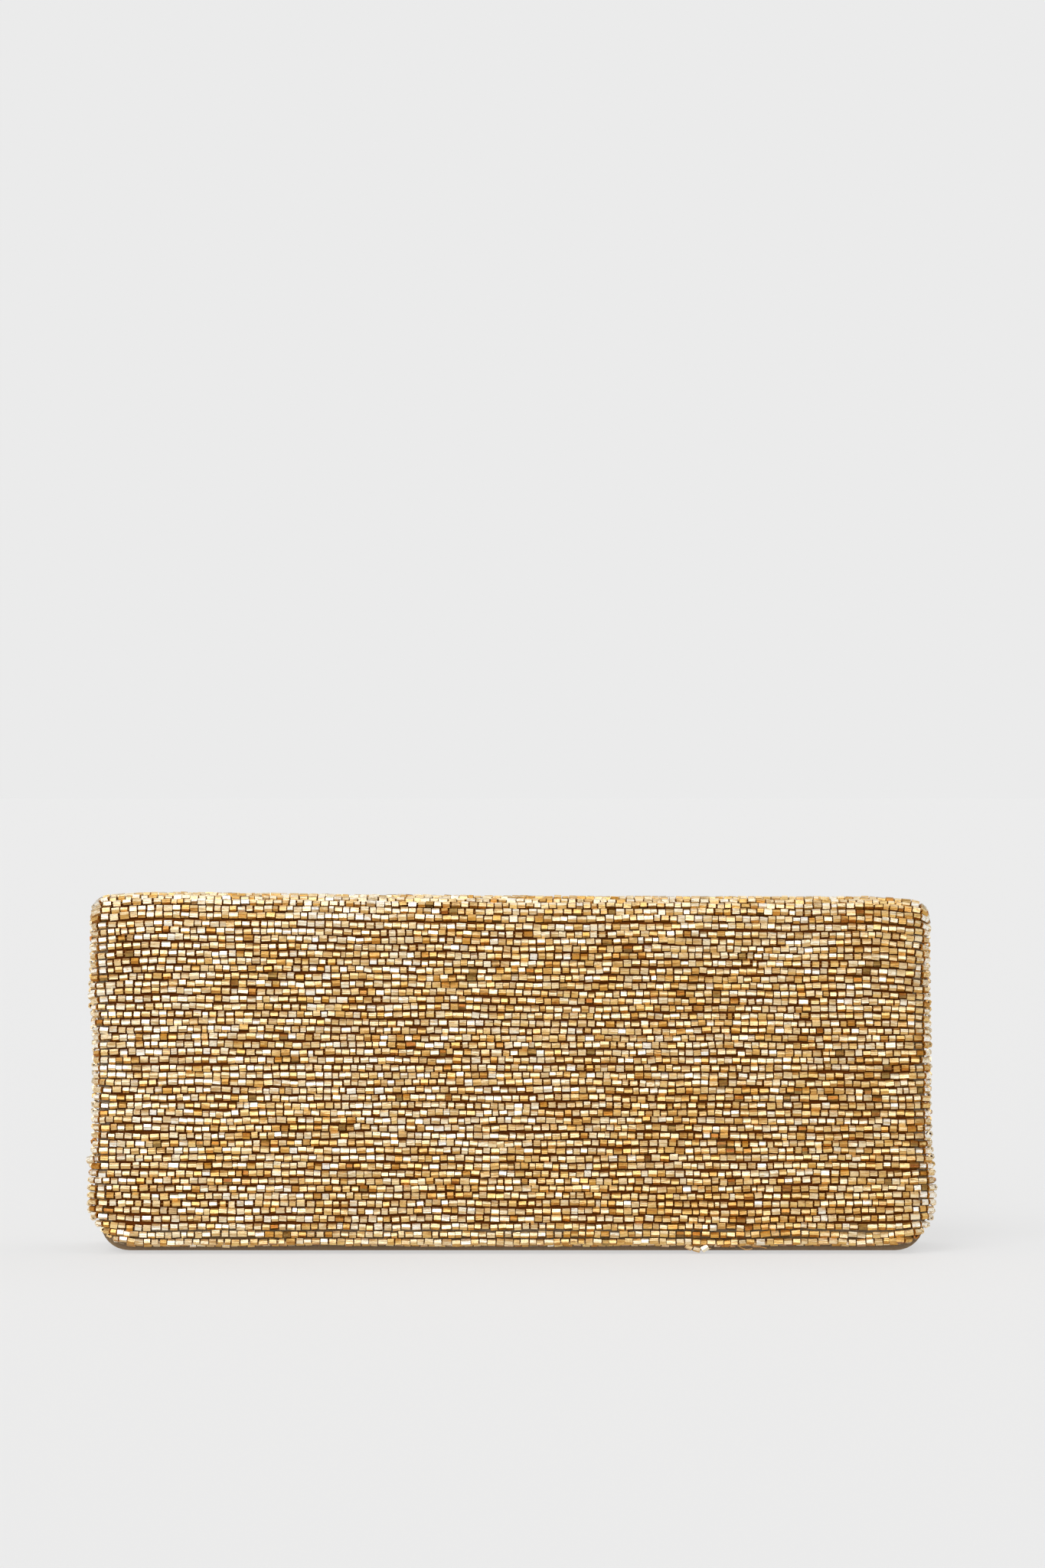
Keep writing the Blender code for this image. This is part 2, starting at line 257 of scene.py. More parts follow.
@dataclass(frozen=True)
class Drape:
    """How the beaded cloth gives way from its straight cut, the same for its beads and its backing."""

    half_width: float
    crest: float
    left_dip: float = 1.5 * MM
    right_dip: float = 1.7 * MM
    dip_reach: float = 22 * MM
    sag_left: float = 0.8 * MM
    sag_middle: float = -0.5 * MM
    sag_right: float = -0.7 * MM
    bulge: float = 1.3 * MM
    bulge_height: float = 17 * MM
    bulge_reach: float = 10 * MM
    left_wave: float = 1.5 * MM
    right_wave: float = -0.5 * MM
    left_tuck: float = 3.0 * MM
    right_tuck: float = 1.2 * MM
    tuck_height: float = 15 * MM
    pillow: float = 0.9 * MM
    ripple: float = 0.55 * MM

    def moved(self, points: Array) -> Array:
        """Move points with the cloth.

        Args:
            points: Points on the straight cut, three numbers each.

        Returns:
            The points where the cloth carries them.
        """
        x, y, z = points[..., 0], points[..., 1], points[..., 2]
        share = x / self.half_width
        high = smooth_step(0.45 * self.crest, 0.94 * self.crest, z)
        near_side = np.clip((np.abs(x) - self.half_width + self.dip_reach) / self.dip_reach, 0.0, 1.2) ** 2
        dip = np.where(x < 0, self.left_dip, self.right_dip)
        drop = -near_side * high * dip
        swing = (self.sag_right - self.sag_left) / 2
        bow = (self.sag_right + self.sag_left) / 2 - self.sag_middle
        sag = self.sag_middle + swing * share + bow * share ** 2
        drop = drop + sag * smooth_step(0.3, 1.0, z / self.crest)
        swell = self.bulge * np.exp(-((z - self.bulge_height) / self.bulge_reach) ** 2)
        shift = swell * smooth_step(0.35, 1.0, share)
        wave = 0.5 + 0.5 * soft_noise(z / 0.021 + 7.3, np.where(x < 0, 2.0, 9.0), 11)
        reach = np.where(x < 0, self.left_wave, self.right_wave)
        shift = shift + reach * wave * smooth_step(0.8, 1.0, np.abs(share)) * np.sign(x)
        tuck = np.where(x < 0, self.left_tuck, self.right_tuck)
        tuck = tuck * smooth_step(0.86, 1.0, np.abs(share)) * smooth_step(self.tuck_height, 0.0, z)
        shift = shift - tuck * np.sign(x)
        drop = drop + 0.35 * tuck
        middle = (1.0 - np.clip(np.abs(share), 0, 1) ** 4) * np.sin(math.pi * np.clip(z / self.crest, 0, 1))
        ripples = soft_noise(x / 0.047 + 20.5, z / 0.031 + np.where(y < 0, 3.5, 40.5), 12)
        push = middle * (self.pillow + self.ripple * ripples) * smooth_step(0.0, 0.008, np.abs(y))
        return np.stack([x + shift, y + push * np.sign(y), z + drop], axis=-1)


@dataclass(frozen=True)
class Skin:
    """A flat stretch of the bag with its own axes: x across, v along it and w out of it."""

    body: str
    origin: Array
    along: Array
    outward: Array
    drape: Drape | None = None

    def place(self, x: Array, v: Array, w: Array) -> Array:
        """Points of this stretch in the frame's axes.

        Args:
            x: Across.
            v: Along.
            w: Out of it.

        Returns:
            The points, three numbers each.
        """
        x, v, w = np.broadcast_arrays(x, v, w)
        points = self.origin + v[..., None] * self.along + w[..., None] * self.outward
        points = points + x[..., None] * np.array([1.0, 0.0, 0.0])
        return points if self.drape is None else self.drape.moved(points)


@dataclass(frozen=True)
class Outline:
    """A panel's edge: straight sides, and round corners where the panel ends."""

    half_width: float
    start: float
    end: float
    radius: float = 0.0

    def half(self, v: Array) -> Array:
        """Half the panel's width at a place along it."""
        into = np.clip(self.radius - np.abs(self.end - v), 0.0, self.radius)
        return self.half_width - self.radius + np.sqrt(np.maximum(self.radius ** 2 - into ** 2, 0.0))

    def stations(self, rows: int, corner_rows: int = 9) -> Array:
        """Places along the panel, closer together round the corners.

        Args:
            rows: How many for the straight stretch.
            corner_rows: How many for the corners.

        Returns:
            The places, from the start to the end.
        """
        turn = math.copysign(self.radius, self.end - self.start)
        straight = np.linspace(self.start, self.end - turn, rows)
        if not self.radius:
            return straight
        angles = np.linspace(0.0, math.pi / 2, corner_rows)[1:]
        return np.concatenate([straight, self.end - turn + turn * np.sin(angles)])

    def inside(self, inset: float) -> "Outline":
        """The same panel with its sides and its end taken in."""
        turn = math.copysign(inset, self.end - self.start)
        return Outline(self.half_width - inset, self.start, self.end - turn, max(self.radius - inset, 0.0))

    def edge(self, step: float) -> tuple[Array, Array]:
        """Even points along the edge: down one side, along the end and up the other.

        Args:
            step: The distance between points.

        Returns:
            The points (x, v) and the directions (x, v) that lead away from the panel there.
        """
        turn = math.copysign(1.0, self.end - self.start)
        angles = np.linspace(0.0, math.pi / 2, 33)
        corner = np.stack([np.cos(angles), np.sin(angles)], axis=-1)
        middle = np.array([self.half_width - self.radius, abs(self.end - self.start) - self.radius])
        right = np.concatenate([[[self.half_width, 0.0]], middle + self.radius * corner])
        left = right[::-1] * np.array([-1.0, 1.0])
        line = np.concatenate([right, left])
        lengths = np.concatenate([[0.0], np.cumsum(np.linalg.norm(np.diff(line, axis=0), axis=1))])
        count = max(int(lengths[-1] / step), 4)
        at = np.linspace(0.0, lengths[-1], count)
        even = np.stack([np.interp(at, lengths, line[:, 0]), np.interp(at, lengths, line[:, 1])], axis=-1)
        ahead = np.gradient(even, axis=0)
        ahead /= np.linalg.norm(ahead, axis=1)[:, None]
        away = np.stack([ahead[:, 1], -ahead[:, 0]], axis=-1)
        places = np.stack([even[:, 0], self.start + turn * even[:, 1]], axis=-1)
        return places, away * np.array([1.0, turn])


@dataclass(frozen=True)
class Cut:
    """The bag's driving sizes, and the stretches of cloth that they lead to."""

    lean: float = math.radians(5.0)
    strips: int = 5
    strip_length: float = 4.3 * MM
    beads: float = 2.0 * MM
    cloth: float = 0.4 * MM
    edge_height: float = 2.2 * MM
    wall_foot: float = 0.5 * MM
    lower_corner: float = 9.5 * MM
    upper_corner: float = 6.5 * MM
    pouch_corner: float = 8.0 * MM
    front_drop: float = 9.0 * MM
    fold_ease: float = 1.5 * MM
    layer_inset: float = 2.2 * MM
    base_rise: float = 9.0 * MM
    gap: float = 0.3 * MM
    lining_face: float = -2.7 * MM
    pouch_face: float = -4.3 * MM
    front_lining_face: float = -3.4 * MM
    snap_rise: float = 24.0 * MM

    @property
    def half_width(self) -> float:
        """Half the beaded cloth's width."""
        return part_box("flap_beading")[1].x

    @property
    def pouch_half(self) -> float:
        """Half the pouch's width."""
        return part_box("front_cover")[1].x

    @property
    def crest(self) -> float:
        """The height of the fold's top."""
        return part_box("fold_beading_3")[1].z

    @property
    def turn(self) -> float:
        """How far the cloth bends at each line of the fold."""
        return (math.pi - 2 * self.lean) / (self.strips + 1)

    @property
    def drape(self) -> Drape:
        """How the beaded cloth hangs."""
        return Drape(self.half_width, self.crest)

    def bending_line(self, number: int) -> Array:
        """Where the fold bends: line 0 tops the back and the last one tops the flap."""
        reach = self.strip_length / 2 / math.sin(self.turn / 2)
        radius = self.strip_length / 2 / math.tan(self.turn / 2)
        middle = self.crest - self.beads - self.cloth / 2 - radius
        angle = self.turn * (self.strips / 2 - number)
        return np.array([0.0, reach * math.sin(angle), middle + reach * math.cos(angle)])

    @property
    def shoulder(self) -> float:
        """The height of the first bending line."""
        return float(self.bending_line(0)[2])

    @property
    def wall_length(self) -> float:
        """The beaded cloth from the fold to its edge."""
        return (self.shoulder - self.edge_height) / math.cos(self.lean)

    @property
    def pouch_height(self) -> float:
        """The front wall from its foot to the mouth's binding."""
        return (self.shoulder - self.front_drop - self.wall_foot) / math.cos(self.lean)

    def wall(self, body: str, side: float, draped: bool = True) -> Skin:
        """The beaded back (side 1) or flap (side -1), from the fold down."""
        origin = self.bending_line(0 if side > 0 else self.strips)
        along = np.array([0.0, side * math.sin(self.lean), -math.cos(self.lean)])
        outward = np.array([0.0, side * math.cos(self.lean), math.sin(self.lean)])
        return Skin(body, origin, along, outward, self.drape if draped else None)

    def strip(self, number: int) -> Skin:
        """A strip of the fold, from its line nearer the back."""
        angle = self.turn * ((self.strips - 1) / 2 - number)
        along = np.array([0.0, -math.cos(angle), math.sin(angle)])
        outward = np.array([0.0, math.sin(angle), math.cos(angle)])
        return Skin(f"fold_{number + 1}", self.bending_line(number), along, outward, self.drape)

    def front_wall(self) -> Skin:
        """The pouch's front wall, from its foot up."""
        up = np.array([0.0, math.sin(self.lean), math.cos(self.lean)])
        outward = np.array([0.0, -math.cos(self.lean), math.sin(self.lean)])
        top = self.bending_line(self.strips)
        down = (self.wall_foot - top[2] - self.pouch_face * math.sin(self.lean)) / math.cos(self.lean)
        return Skin("front_wall", top + down * up + self.pouch_face * outward, up, outward)

    def reach(self, height: Array) -> Array:
        """The beaded cloth's distance from the middle plane at a height."""
        return self.bending_line(0)[1] + (self.shoulder - height) * math.tan(self.lean)

    def back_inner(self, height: Array) -> Array:
        """Where the back lining's inner face is at a height."""
        return self.reach(height) + (self.lining_face - self.cloth) / math.cos(self.lean)

    def front_inner(self, height: Array) -> Array:
        """Where the front lining's inner face is at a height."""
        depth = self.pouch_face + self.front_lining_face - self.cloth
        return -(self.reach(height) + depth / math.cos(self.lean))

    def top_inset(self, height: float) -> float:
        """How far the round top corners take the cloth in at a height."""
        rise = max(self.upper_corner - (self.crest - height), 0.0)
        return self.upper_corner - math.sqrt(self.upper_corner ** 2 - rise ** 2)


# ---------------------------------------------------------------------------------------------
# Effects that several finishes share
# ---------------------------------------------------------------------------------------------


@dataclass
class Nodes:
    """Short ways to add and join the nodes of a material or a group."""

    tree: bpy.types.NodeTree

    def add(self, kind: str, **values: object) -> bpy.types.Node:
        """Add a node and set its properties."""
        node = self.tree.nodes.new(kind)
        for name, value in values.items():
            setattr(node, name, value)
        return node

    def put(self, socket: Socket, value: object) -> None:
        """Join a socket to another, or set its value."""
        if isinstance(value, Socket):
            self.tree.links.new(value, socket)
        elif value is not None:
            socket.default_value = value

    def math(self, operation: str, first: object, second: object = None, third: object = None) -> Socket:
        """Add a Math node and return its output."""
        node = self.add("ShaderNodeMath", operation=operation)
        for socket, value in zip(node.inputs, (first, second, third)):
            self.put(socket, value)
        return node.outputs[0]

    def mix(self, share: object, first: object, second: object, blend: str = "MIX") -> Socket:
        """Add a colour Mix node and return its output."""
        node = self.add("ShaderNodeMix", data_type="RGBA", blend_type=blend, clamp_result=True)
        self.put(node.inputs["Factor"], share)
        self.put(node.inputs[6], first)
        self.put(node.inputs[7], second)
        return node.outputs[2]

    def range(self, value: object, low: float, high: float, new_low: float, new_high: float) -> Socket:
        """Add a Map Range node and return its output."""
        node = self.add("ShaderNodeMapRange")
        for socket, given in zip(node.inputs, (value, low, high, new_low, new_high)):
            self.put(socket, given)
        return node.outputs[0]

    def noise(self, vector: object, scale: float, detail: float = 2.0, rough: float = 0.5) -> Socket:
        """Add a Noise node and return its value."""
        node = self.add("ShaderNodeTexNoise")
        self.put(node.inputs["Vector"], vector)
        node.inputs["Scale"].default_value = scale
        node.inputs["Detail"].default_value = detail
        node.inputs["Roughness"].default_value = rough
        return node.outputs["Fac"]

    def stretched(self, vector: object, scale: Sequence[float]) -> Socket:
        """Scale a vector on each axis."""
        node = self.add("ShaderNodeVectorMath", operation="MULTIPLY")
        self.put(node.inputs[0], vector)
        node.inputs[1].default_value = scale
        return node.outputs[0]

    def ramp(self, value: object, stops: Sequence[tuple]) -> Socket:
        """Add a Color Ramp and return its colour."""
        node = self.add("ShaderNodeValToRGB")
        elements = node.color_ramp.elements
        while len(elements) < len(stops):
            elements.new(0.5)
        for element, (place, colour) in zip(elements, stops):
            element.position = place
            element.color = (*colour, 1.0)
        self.put(node.inputs[0], value)
        return node.outputs[0]


class Effect(Enum):
    """The shared effects."""

    WEAVE = "Weave"
    MOTTLE = "Mottle"
    WEAR = "Wear"
    STREAKS = "Streaks"


def group_of(effect: Effect, inputs: dict, outputs: dict) -> tuple[bpy.types.NodeTree, Nodes, dict, dict]:
    """Start a shader node group with named sockets.

    Args:
        effect: Which effect it holds.
        inputs: Socket names with their default values.
        outputs: Socket names with their socket types.

    Returns:
        The group, its node tools, its input sockets by name and its output sockets by name.
    """
    tree = bpy.data.node_groups.new(effect.value, "ShaderNodeTree")
    for name, value in inputs.items():
        kind = "NodeSocketVector" if value is None else "NodeSocketFloat"
        socket = tree.interface.new_socket(name, in_out="INPUT", socket_type=kind)
        if value is not None:
            socket.default_value = value
    for name, kind in outputs.items():
        tree.interface.new_socket(name, in_out="OUTPUT", socket_type=kind)
    nodes = Nodes(tree)
    start, end = nodes.add("NodeGroupInput"), nodes.add("NodeGroupOutput")
    given = {socket.name: socket for socket in start.outputs if socket.name}
    wanted = {socket.name: socket for socket in end.inputs if socket.name}
    return tree, nodes, given, wanted


def weave_group() -> bpy.types.NodeTree:
    """Crossing threads with long floats, at a given pitch."""
    tree, nodes, given, wanted = group_of(
        Effect.WEAVE,
        {"Position": None, "Pitch": 0.0003, "Float": 4.0},
        {"Height": "NodeSocketFloat", "Thread": "NodeSocketFloat"},
    )
    split = nodes.add("ShaderNodeSeparateXYZ")
    nodes.put(split.inputs[0], given["Position"])
    climb = nodes.math("ADD", nodes.math("MULTIPLY", split.outputs[1], 0.31), split.outputs[2])
    across = nodes.math("DIVIDE", split.outputs[0], given["Pitch"])
    along = nodes.math("DIVIDE", climb, given["Pitch"])
    warp = nodes.math("ABSOLUTE", nodes.math("SINE", nodes.math("MULTIPLY", across, math.pi)))
    weft = nodes.math("ABSOLUTE", nodes.math("SINE", nodes.math("MULTIPLY", along, math.pi)))
    rows = nodes.math("MULTIPLY", nodes.math("FLOOR", along), 2.0)
    step = nodes.math("ADD", nodes.math("FLOOR", across), rows)
    over = nodes.math("WRAP", step, given["Float"], 0.0)
    lifted = nodes.math("GREATER_THAN", over, 0.5)
    flat = nodes.math("MULTIPLY", lifted, warp)
    bound = nodes.math("MULTIPLY", nodes.math("SUBTRACT", 1.0, lifted), weft)
    nodes.put(wanted["Height"], nodes.math("ADD", flat, nodes.math("MULTIPLY", bound, 0.6)))
    nodes.put(wanted["Thread"], lifted)
    return tree


def mottle_group() -> bpy.types.NodeTree:
    """Large and small patches, for dye, dust and handling."""
    tree, nodes, given, wanted = group_of(
        Effect.MOTTLE,
        {"Position": None, "Large": 40.0, "Small": 900.0},
        {"Patch": "NodeSocketFloat", "Grain": "NodeSocketFloat"},
    )
    for name, source in (("Patch", "Large"), ("Grain", "Small")):
        node = nodes.add("ShaderNodeTexNoise")
        nodes.put(node.inputs["Vector"], given["Position"])
        nodes.put(node.inputs["Scale"], given[source])
        node.inputs["Detail"].default_value = 4.0
        nodes.put(wanted[name], nodes.range(node.outputs["Fac"], 0.3, 0.7, 0.0, 1.0))
    return tree


def wear_group() -> bpy.types.NodeTree:
    """Where edges are rubbed, and where the surface lies in a hollow, which the finishes make darker."""
    tree, nodes, given, wanted = group_of(
        Effect.WEAR,
        {"Position": None, "Breakup": 300.0, "Amount": 0.5},
        {"Rubbed": "NodeSocketFloat", "Hollow_dark": "NodeSocketFloat"},
    )
    shape = nodes.add("ShaderNodeNewGeometry")
    node = nodes.add("ShaderNodeTexNoise")
    nodes.put(node.inputs["Vector"], given["Position"])
    nodes.put(node.inputs["Scale"], given["Breakup"])
    node.inputs["Detail"].default_value = 5.0
    edge = nodes.range(shape.outputs["Pointiness"], 0.51, 0.58, 0.0, 1.0)
    hollow = nodes.range(shape.outputs["Pointiness"], 0.49, 0.44, 0.0, 1.0)
    for name, mask in (("Rubbed", edge), ("Hollow_dark", hollow)):
        broken = nodes.math("MULTIPLY", mask, node.outputs["Fac"])
        nodes.put(wanted[name], nodes.math("MULTIPLY", broken, given["Amount"]))
    return tree


def streaks_group() -> bpy.types.NodeTree:
    """Fine lines drawn along X, as in pulled glass and polished metal."""
    tree, nodes, given, wanted = group_of(
        Effect.STREAKS,
        {"Position": None, "Shift": 0.0, "Fineness": 1.0},
        {"Line": "NodeSocketFloat", "Fleck": "NodeSocketFloat"},
    )
    moved = nodes.add("ShaderNodeVectorMath", operation="ADD")
    nodes.put(moved.inputs[0], given["Position"])
    offset = nodes.add("ShaderNodeCombineXYZ")
    nodes.put(offset.inputs[1], given["Shift"])
    nodes.put(moved.inputs[1], offset.outputs[0])
    for name, scale in (("Line", (320.0, 2600.0, 2600.0)), ("Fleck", (1100.0, 1500.0, 1500.0))):
        node = nodes.add("ShaderNodeTexNoise")
        nodes.put(node.inputs["Vector"], nodes.stretched(moved.outputs[0], scale))
        nodes.put(node.inputs["Scale"], given["Fineness"])
        node.inputs["Detail"].default_value = 2.0
        nodes.put(wanted[name], nodes.range(node.outputs["Fac"], 0.32, 0.68, 0.0, 1.0))
    return tree


BUILDERS = {
    Effect.WEAVE: weave_group,
    Effect.MOTTLE: mottle_group,
    Effect.WEAR: wear_group,
    Effect.STREAKS: streaks_group,
}


@dataclass
class Surface(Nodes):
    """A material being made: its Principled shader and the effects it places."""

    shader: bpy.types.Node = None
    position: Socket = None

    @classmethod
    def start(cls, name: str) -> "Surface":
        """Start a material with its shader and the point being shaded."""
        material = bpy.data.materials.new(name)
        material.use_nodes = True
        made = cls(material.node_tree)
        made.shader = material.node_tree.nodes["Principled BSDF"]
        made.position = made.add("ShaderNodeTexCoord").outputs["Object"]
        return made

    @property
    def material(self) -> Material:
        """The material that holds this node tree."""
        return next(m for m in bpy.data.materials if m.node_tree == self.tree)

    def effect(self, effect: Effect, **values: object) -> dict:
        """Place a shared effect.

        Args:
            effect: Which one.
            **values: Its inputs by name.

        Returns:
            Its outputs by name.
        """
        group = bpy.data.node_groups.get(effect.value) or BUILDERS[effect]()
        node = self.add("ShaderNodeGroup", node_tree=group)
        self.put(node.inputs["Position"], self.position)
        for name, value in values.items():
            self.put(node.inputs[name], value)
        return {socket.name: socket for socket in node.outputs}

    def bump(self, height: object, strength: float, distance: float) -> None:
        """Raise the surface by a height."""
        node = self.add("ShaderNodeBump")
        self.put(node.inputs["Height"], height)
        node.inputs["Strength"].default_value = strength
        node.inputs["Distance"].default_value = distance
        self.put(self.shader.inputs["Normal"], node.outputs[0])

    def constants(self, **values: object) -> None:
        """Set the shader's own sockets, named with underscores for spaces."""
        for name, value in values.items():
            self.shader.inputs[name.replace("_", " ")].default_value = value


# ---------------------------------------------------------------------------------------------
# Finishes
# ---------------------------------------------------------------------------------------------

Colour = tuple[float, float, float]


@dataclass(frozen=True)
class BeadGlass:
    """Cut glass lined with gold and silver leaf, with painted light and shade on each facet."""

    name: str = "bead_glass"
    bronze: Colour = (0.330, 0.210, 0.060)
    brown: Colour = (0.400, 0.140, 0.010)
    amber: Colour = (0.620, 0.300, 0.040)
    gold: Colour = (0.840, 0.590, 0.230)
    champagne: Colour = (0.920, 0.830, 0.630)
    pale: Colour = (0.960, 0.945, 0.880)
    silver: Colour = (0.960, 0.930, 0.880)
    # Colours of the painted shade that darker facets are multiplied by.
    shade_deep: Colour = (0.300, 0.110, 0.020)
    shade_warm: Colour = (0.680, 0.530, 0.330)
    leaf: float = 0.72
    leaf_loss: float = 0.25
    coat: float = 0.12
    coat_tint: Colour = (1.0, 0.86, 0.62)

    def make(self) -> Material:
        """Make the material."""
        work = Surface.start(self.name)
        tone = work.add("ShaderNodeAttribute", attribute_name=TONE).outputs["Fac"]
        facet_light = work.add("ShaderNodeAttribute", attribute_name=FACET_LIGHT).outputs["Fac"]
        lines = work.effect(Effect.STREAKS, Shift=facet_light)
        colour = work.ramp(tone, (
            (0.00, self.bronze), (0.10, self.brown), (0.22, self.amber), (0.45, self.gold),
            (0.72, self.champagne), (0.90, self.pale), (1.00, self.silver),
        ))
        # Painted light and shade: each facet's painted light value, varied along the streaks, picks a warm
        # painted shade that the bead's colour is multiplied by.
        light = work.math("MULTIPLY_ADD", facet_light, 0.50, 0.66)
        light = work.math("MULTIPLY", light, work.range(lines["Line"], 0.0, 1.0, 0.70, 1.20))
        shade = work.ramp(light, ((0.25, self.shade_deep), (0.62, self.shade_warm), (0.98, (1.0, 1.0, 1.0))))
        shaded = work.mix(1.0, colour, shade, "MULTIPLY")
        dulled = work.mix(work.range(lines["Fleck"], 0.78, 1.0, 0.0, 0.4), shaded, (*self.amber, 1.0))
        work.put(work.shader.inputs["Base Color"], dulled)
        work.put(work.shader.inputs["Roughness"], work.range(lines["Line"], 0.0, 1.0, 0.16, 0.42))
        leaf = work.range(lines["Fleck"], 0.0, 1.0, self.leaf, self.leaf - self.leaf_loss)
        work.put(work.shader.inputs["Metallic"], leaf)
        work.bump(lines["Line"], 0.5, 0.00012)
        work.constants(IOR=1.45, Coat_Weight=self.coat, Coat_Roughness=0.06, Coat_IOR=1.5)
        work.constants(Coat_Tint=(*self.coat_tint, 1.0))
        return work.material


@dataclass(frozen=True)
class Cloth:
    """A woven cloth, from matt backing to bright satin."""

    name: str
    base: Colour
    deep: Colour
    light: Colour
    pitch: float = 0.0003
    floats: float = 4.0
    rough: float = 0.45
    sheen: float = 0.3
    relief: float = 0.00005
    gloss: float = 0.45

    def make(self) -> Material:
        """Make the material."""
        work = Surface.start(self.name)
        weave = work.effect(Effect.WEAVE, Pitch=self.pitch, Float=self.floats)
        spots = work.effect(Effect.MOTTLE)
        wear = work.effect(Effect.WEAR)
        even = work.range(spots["Patch"], 0.0, 1.0, 0.55, 1.0)
        colour = work.mix(even, (*self.deep, 1.0), (*self.base, 1.0))
        # Painted highlight: the raised threads of the weave are mixed towards the light colour.
        colour = work.mix(work.math("MULTIPLY", weave["Height"], 0.10), colour, (*self.light, 1.0))
        colour = work.mix(wear["Rubbed"], colour, (*self.light, 1.0))
        # Darker towards the deep colour in hollows.
        colour = work.mix(wear["Hollow_dark"], colour, (*self.deep, 1.0))
        work.put(work.shader.inputs["Base Color"], colour)
        varied = work.math("ADD", work.range(weave["Thread"], 0.0, 1.0, 0.06, -0.06), self.rough)
        varied = work.math("ADD", varied, work.range(spots["Grain"], 0.0, 1.0, -0.04, 0.04))
        work.put(work.shader.inputs["Roughness"], varied)
        height = work.math("ADD", weave["Height"], work.math("MULTIPLY", spots["Grain"], 0.5))
        work.bump(height, 0.6, self.relief)
        work.constants(Sheen_Weight=self.sheen, Sheen_Roughness=0.35, Specular_IOR_Level=self.gloss)
        return work.material


@dataclass(frozen=True)
class Felt:
    """Pressed wool."""

    name: str = "pressed_felt"
    base: Colour = (0.66, 0.60, 0.50)
    shade: Colour = (0.45, 0.40, 0.32)

    def make(self) -> Material:
        """Make the material."""
        work = Surface.start(self.name)
        spots = work.effect(Effect.MOTTLE, Large=160.0, Small=2400.0)
        hairs = work.noise(work.stretched(work.position, (900.0, 2500.0, 2500.0)), 1.0, 5.0, 0.7)
        colour = work.mix(spots["Patch"], (*self.shade, 1.0), (*self.base, 1.0))
        work.put(work.shader.inputs["Base Color"], work.mix(hairs, colour, (*self.base, 1.0)))
        work.put(work.shader.inputs["Roughness"], work.range(hairs, 0.0, 1.0, 0.86, 1.0))
        work.bump(work.math("ADD", hairs, spots["Grain"]), 0.8, 0.00012)
        work.constants(Sheen_Weight=0.5, Sheen_Roughness=0.6)
        return work.material


@dataclass(frozen=True)
class Card:
    """Grey-brown pressed board."""

    name: str = "pressed_card"
    base: Colour = (0.40, 0.31, 0.21)
    fibre: Colour = (0.55, 0.46, 0.34)

    def make(self) -> Material:
        """Make the material."""
        work = Surface.start(self.name)
        spots = work.effect(Effect.MOTTLE, Large=90.0, Small=1800.0)
        fibres = work.noise(work.stretched(work.position, (700.0, 2400.0, 1600.0)), 1.0, 6.0, 0.65)
        speck = work.range(fibres, 0.6, 0.72, 0.0, 0.8)
        colour = work.mix(work.math("MULTIPLY", spots["Patch"], 0.4), (*self.base, 1.0), (*self.fibre, 1.0))
        work.put(work.shader.inputs["Base Color"], work.mix(speck, colour, (*self.fibre, 1.0)))
        work.put(work.shader.inputs["Roughness"], work.range(spots["Grain"], 0.0, 1.0, 0.74, 0.9))
        work.bump(fibres, 0.5, 0.00008)
        return work.material


@dataclass(frozen=True)
class Metal:
    """Plated or bare metal with fine marks."""

    name: str
    bright: Colour
    dull: Colour
    rough: float
    rubbed: Colour = (0.78, 0.74, 0.66)

    def make(self) -> Material:
        """Make the material."""
        work = Surface.start(self.name)
        lines = work.effect(Effect.STREAKS, Fineness=1.6)
        spots = work.effect(Effect.MOTTLE, Large=420.0, Small=3000.0)
        wear = work.effect(Effect.WEAR, Breakup=900.0, Amount=0.8)
        colour = work.mix(work.math("MULTIPLY", spots["Patch"], 0.35), (*self.bright, 1.0), (*self.dull, 1.0))
        colour = work.mix(wear["Rubbed"], colour, (*self.rubbed, 1.0))
        # Darker towards the dull colour in hollows.
        work.put(work.shader.inputs["Base Color"], work.mix(wear["Hollow_dark"], colour, (*self.dull, 1.0)))
        varied = work.math("ADD", work.range(lines["Line"], 0.0, 1.0, -0.05, 0.08), self.rough)
        work.put(work.shader.inputs["Roughness"], varied)
        work.bump(lines["Line"], 0.12, 0.00003)
        work.constants(Metallic=1.0)
        return work.material


@dataclass(frozen=True)
class Thread:
    """Twisted sewing thread."""

    name: str
    base: Colour
    light: Colour

    def make(self) -> Material:
        """Make the material."""
        work = Surface.start(self.name)
        twist = work.add("ShaderNodeTexWave", wave_type="BANDS", bands_direction="DIAGONAL")
        work.put(twist.inputs["Vector"], work.position)
        twist.inputs["Scale"].default_value = 900.0
        twist.inputs["Distortion"].default_value = 1.5
        spots = work.effect(Effect.MOTTLE, Large=200.0, Small=2600.0)
        colour = work.mix(twist.outputs["Fac"], (*self.base, 1.0), (*self.light, 1.0))
        work.put(work.shader.inputs["Base Color"], work.mix(spots["Patch"], colour, (*self.base, 1.0)))
        work.put(work.shader.inputs["Roughness"], work.range(spots["Grain"], 0.0, 1.0, 0.4, 0.6))
        work.bump(twist.outputs["Fac"], 0.5, 0.00004)
        work.constants(Sheen_Weight=0.3)
        return work.material


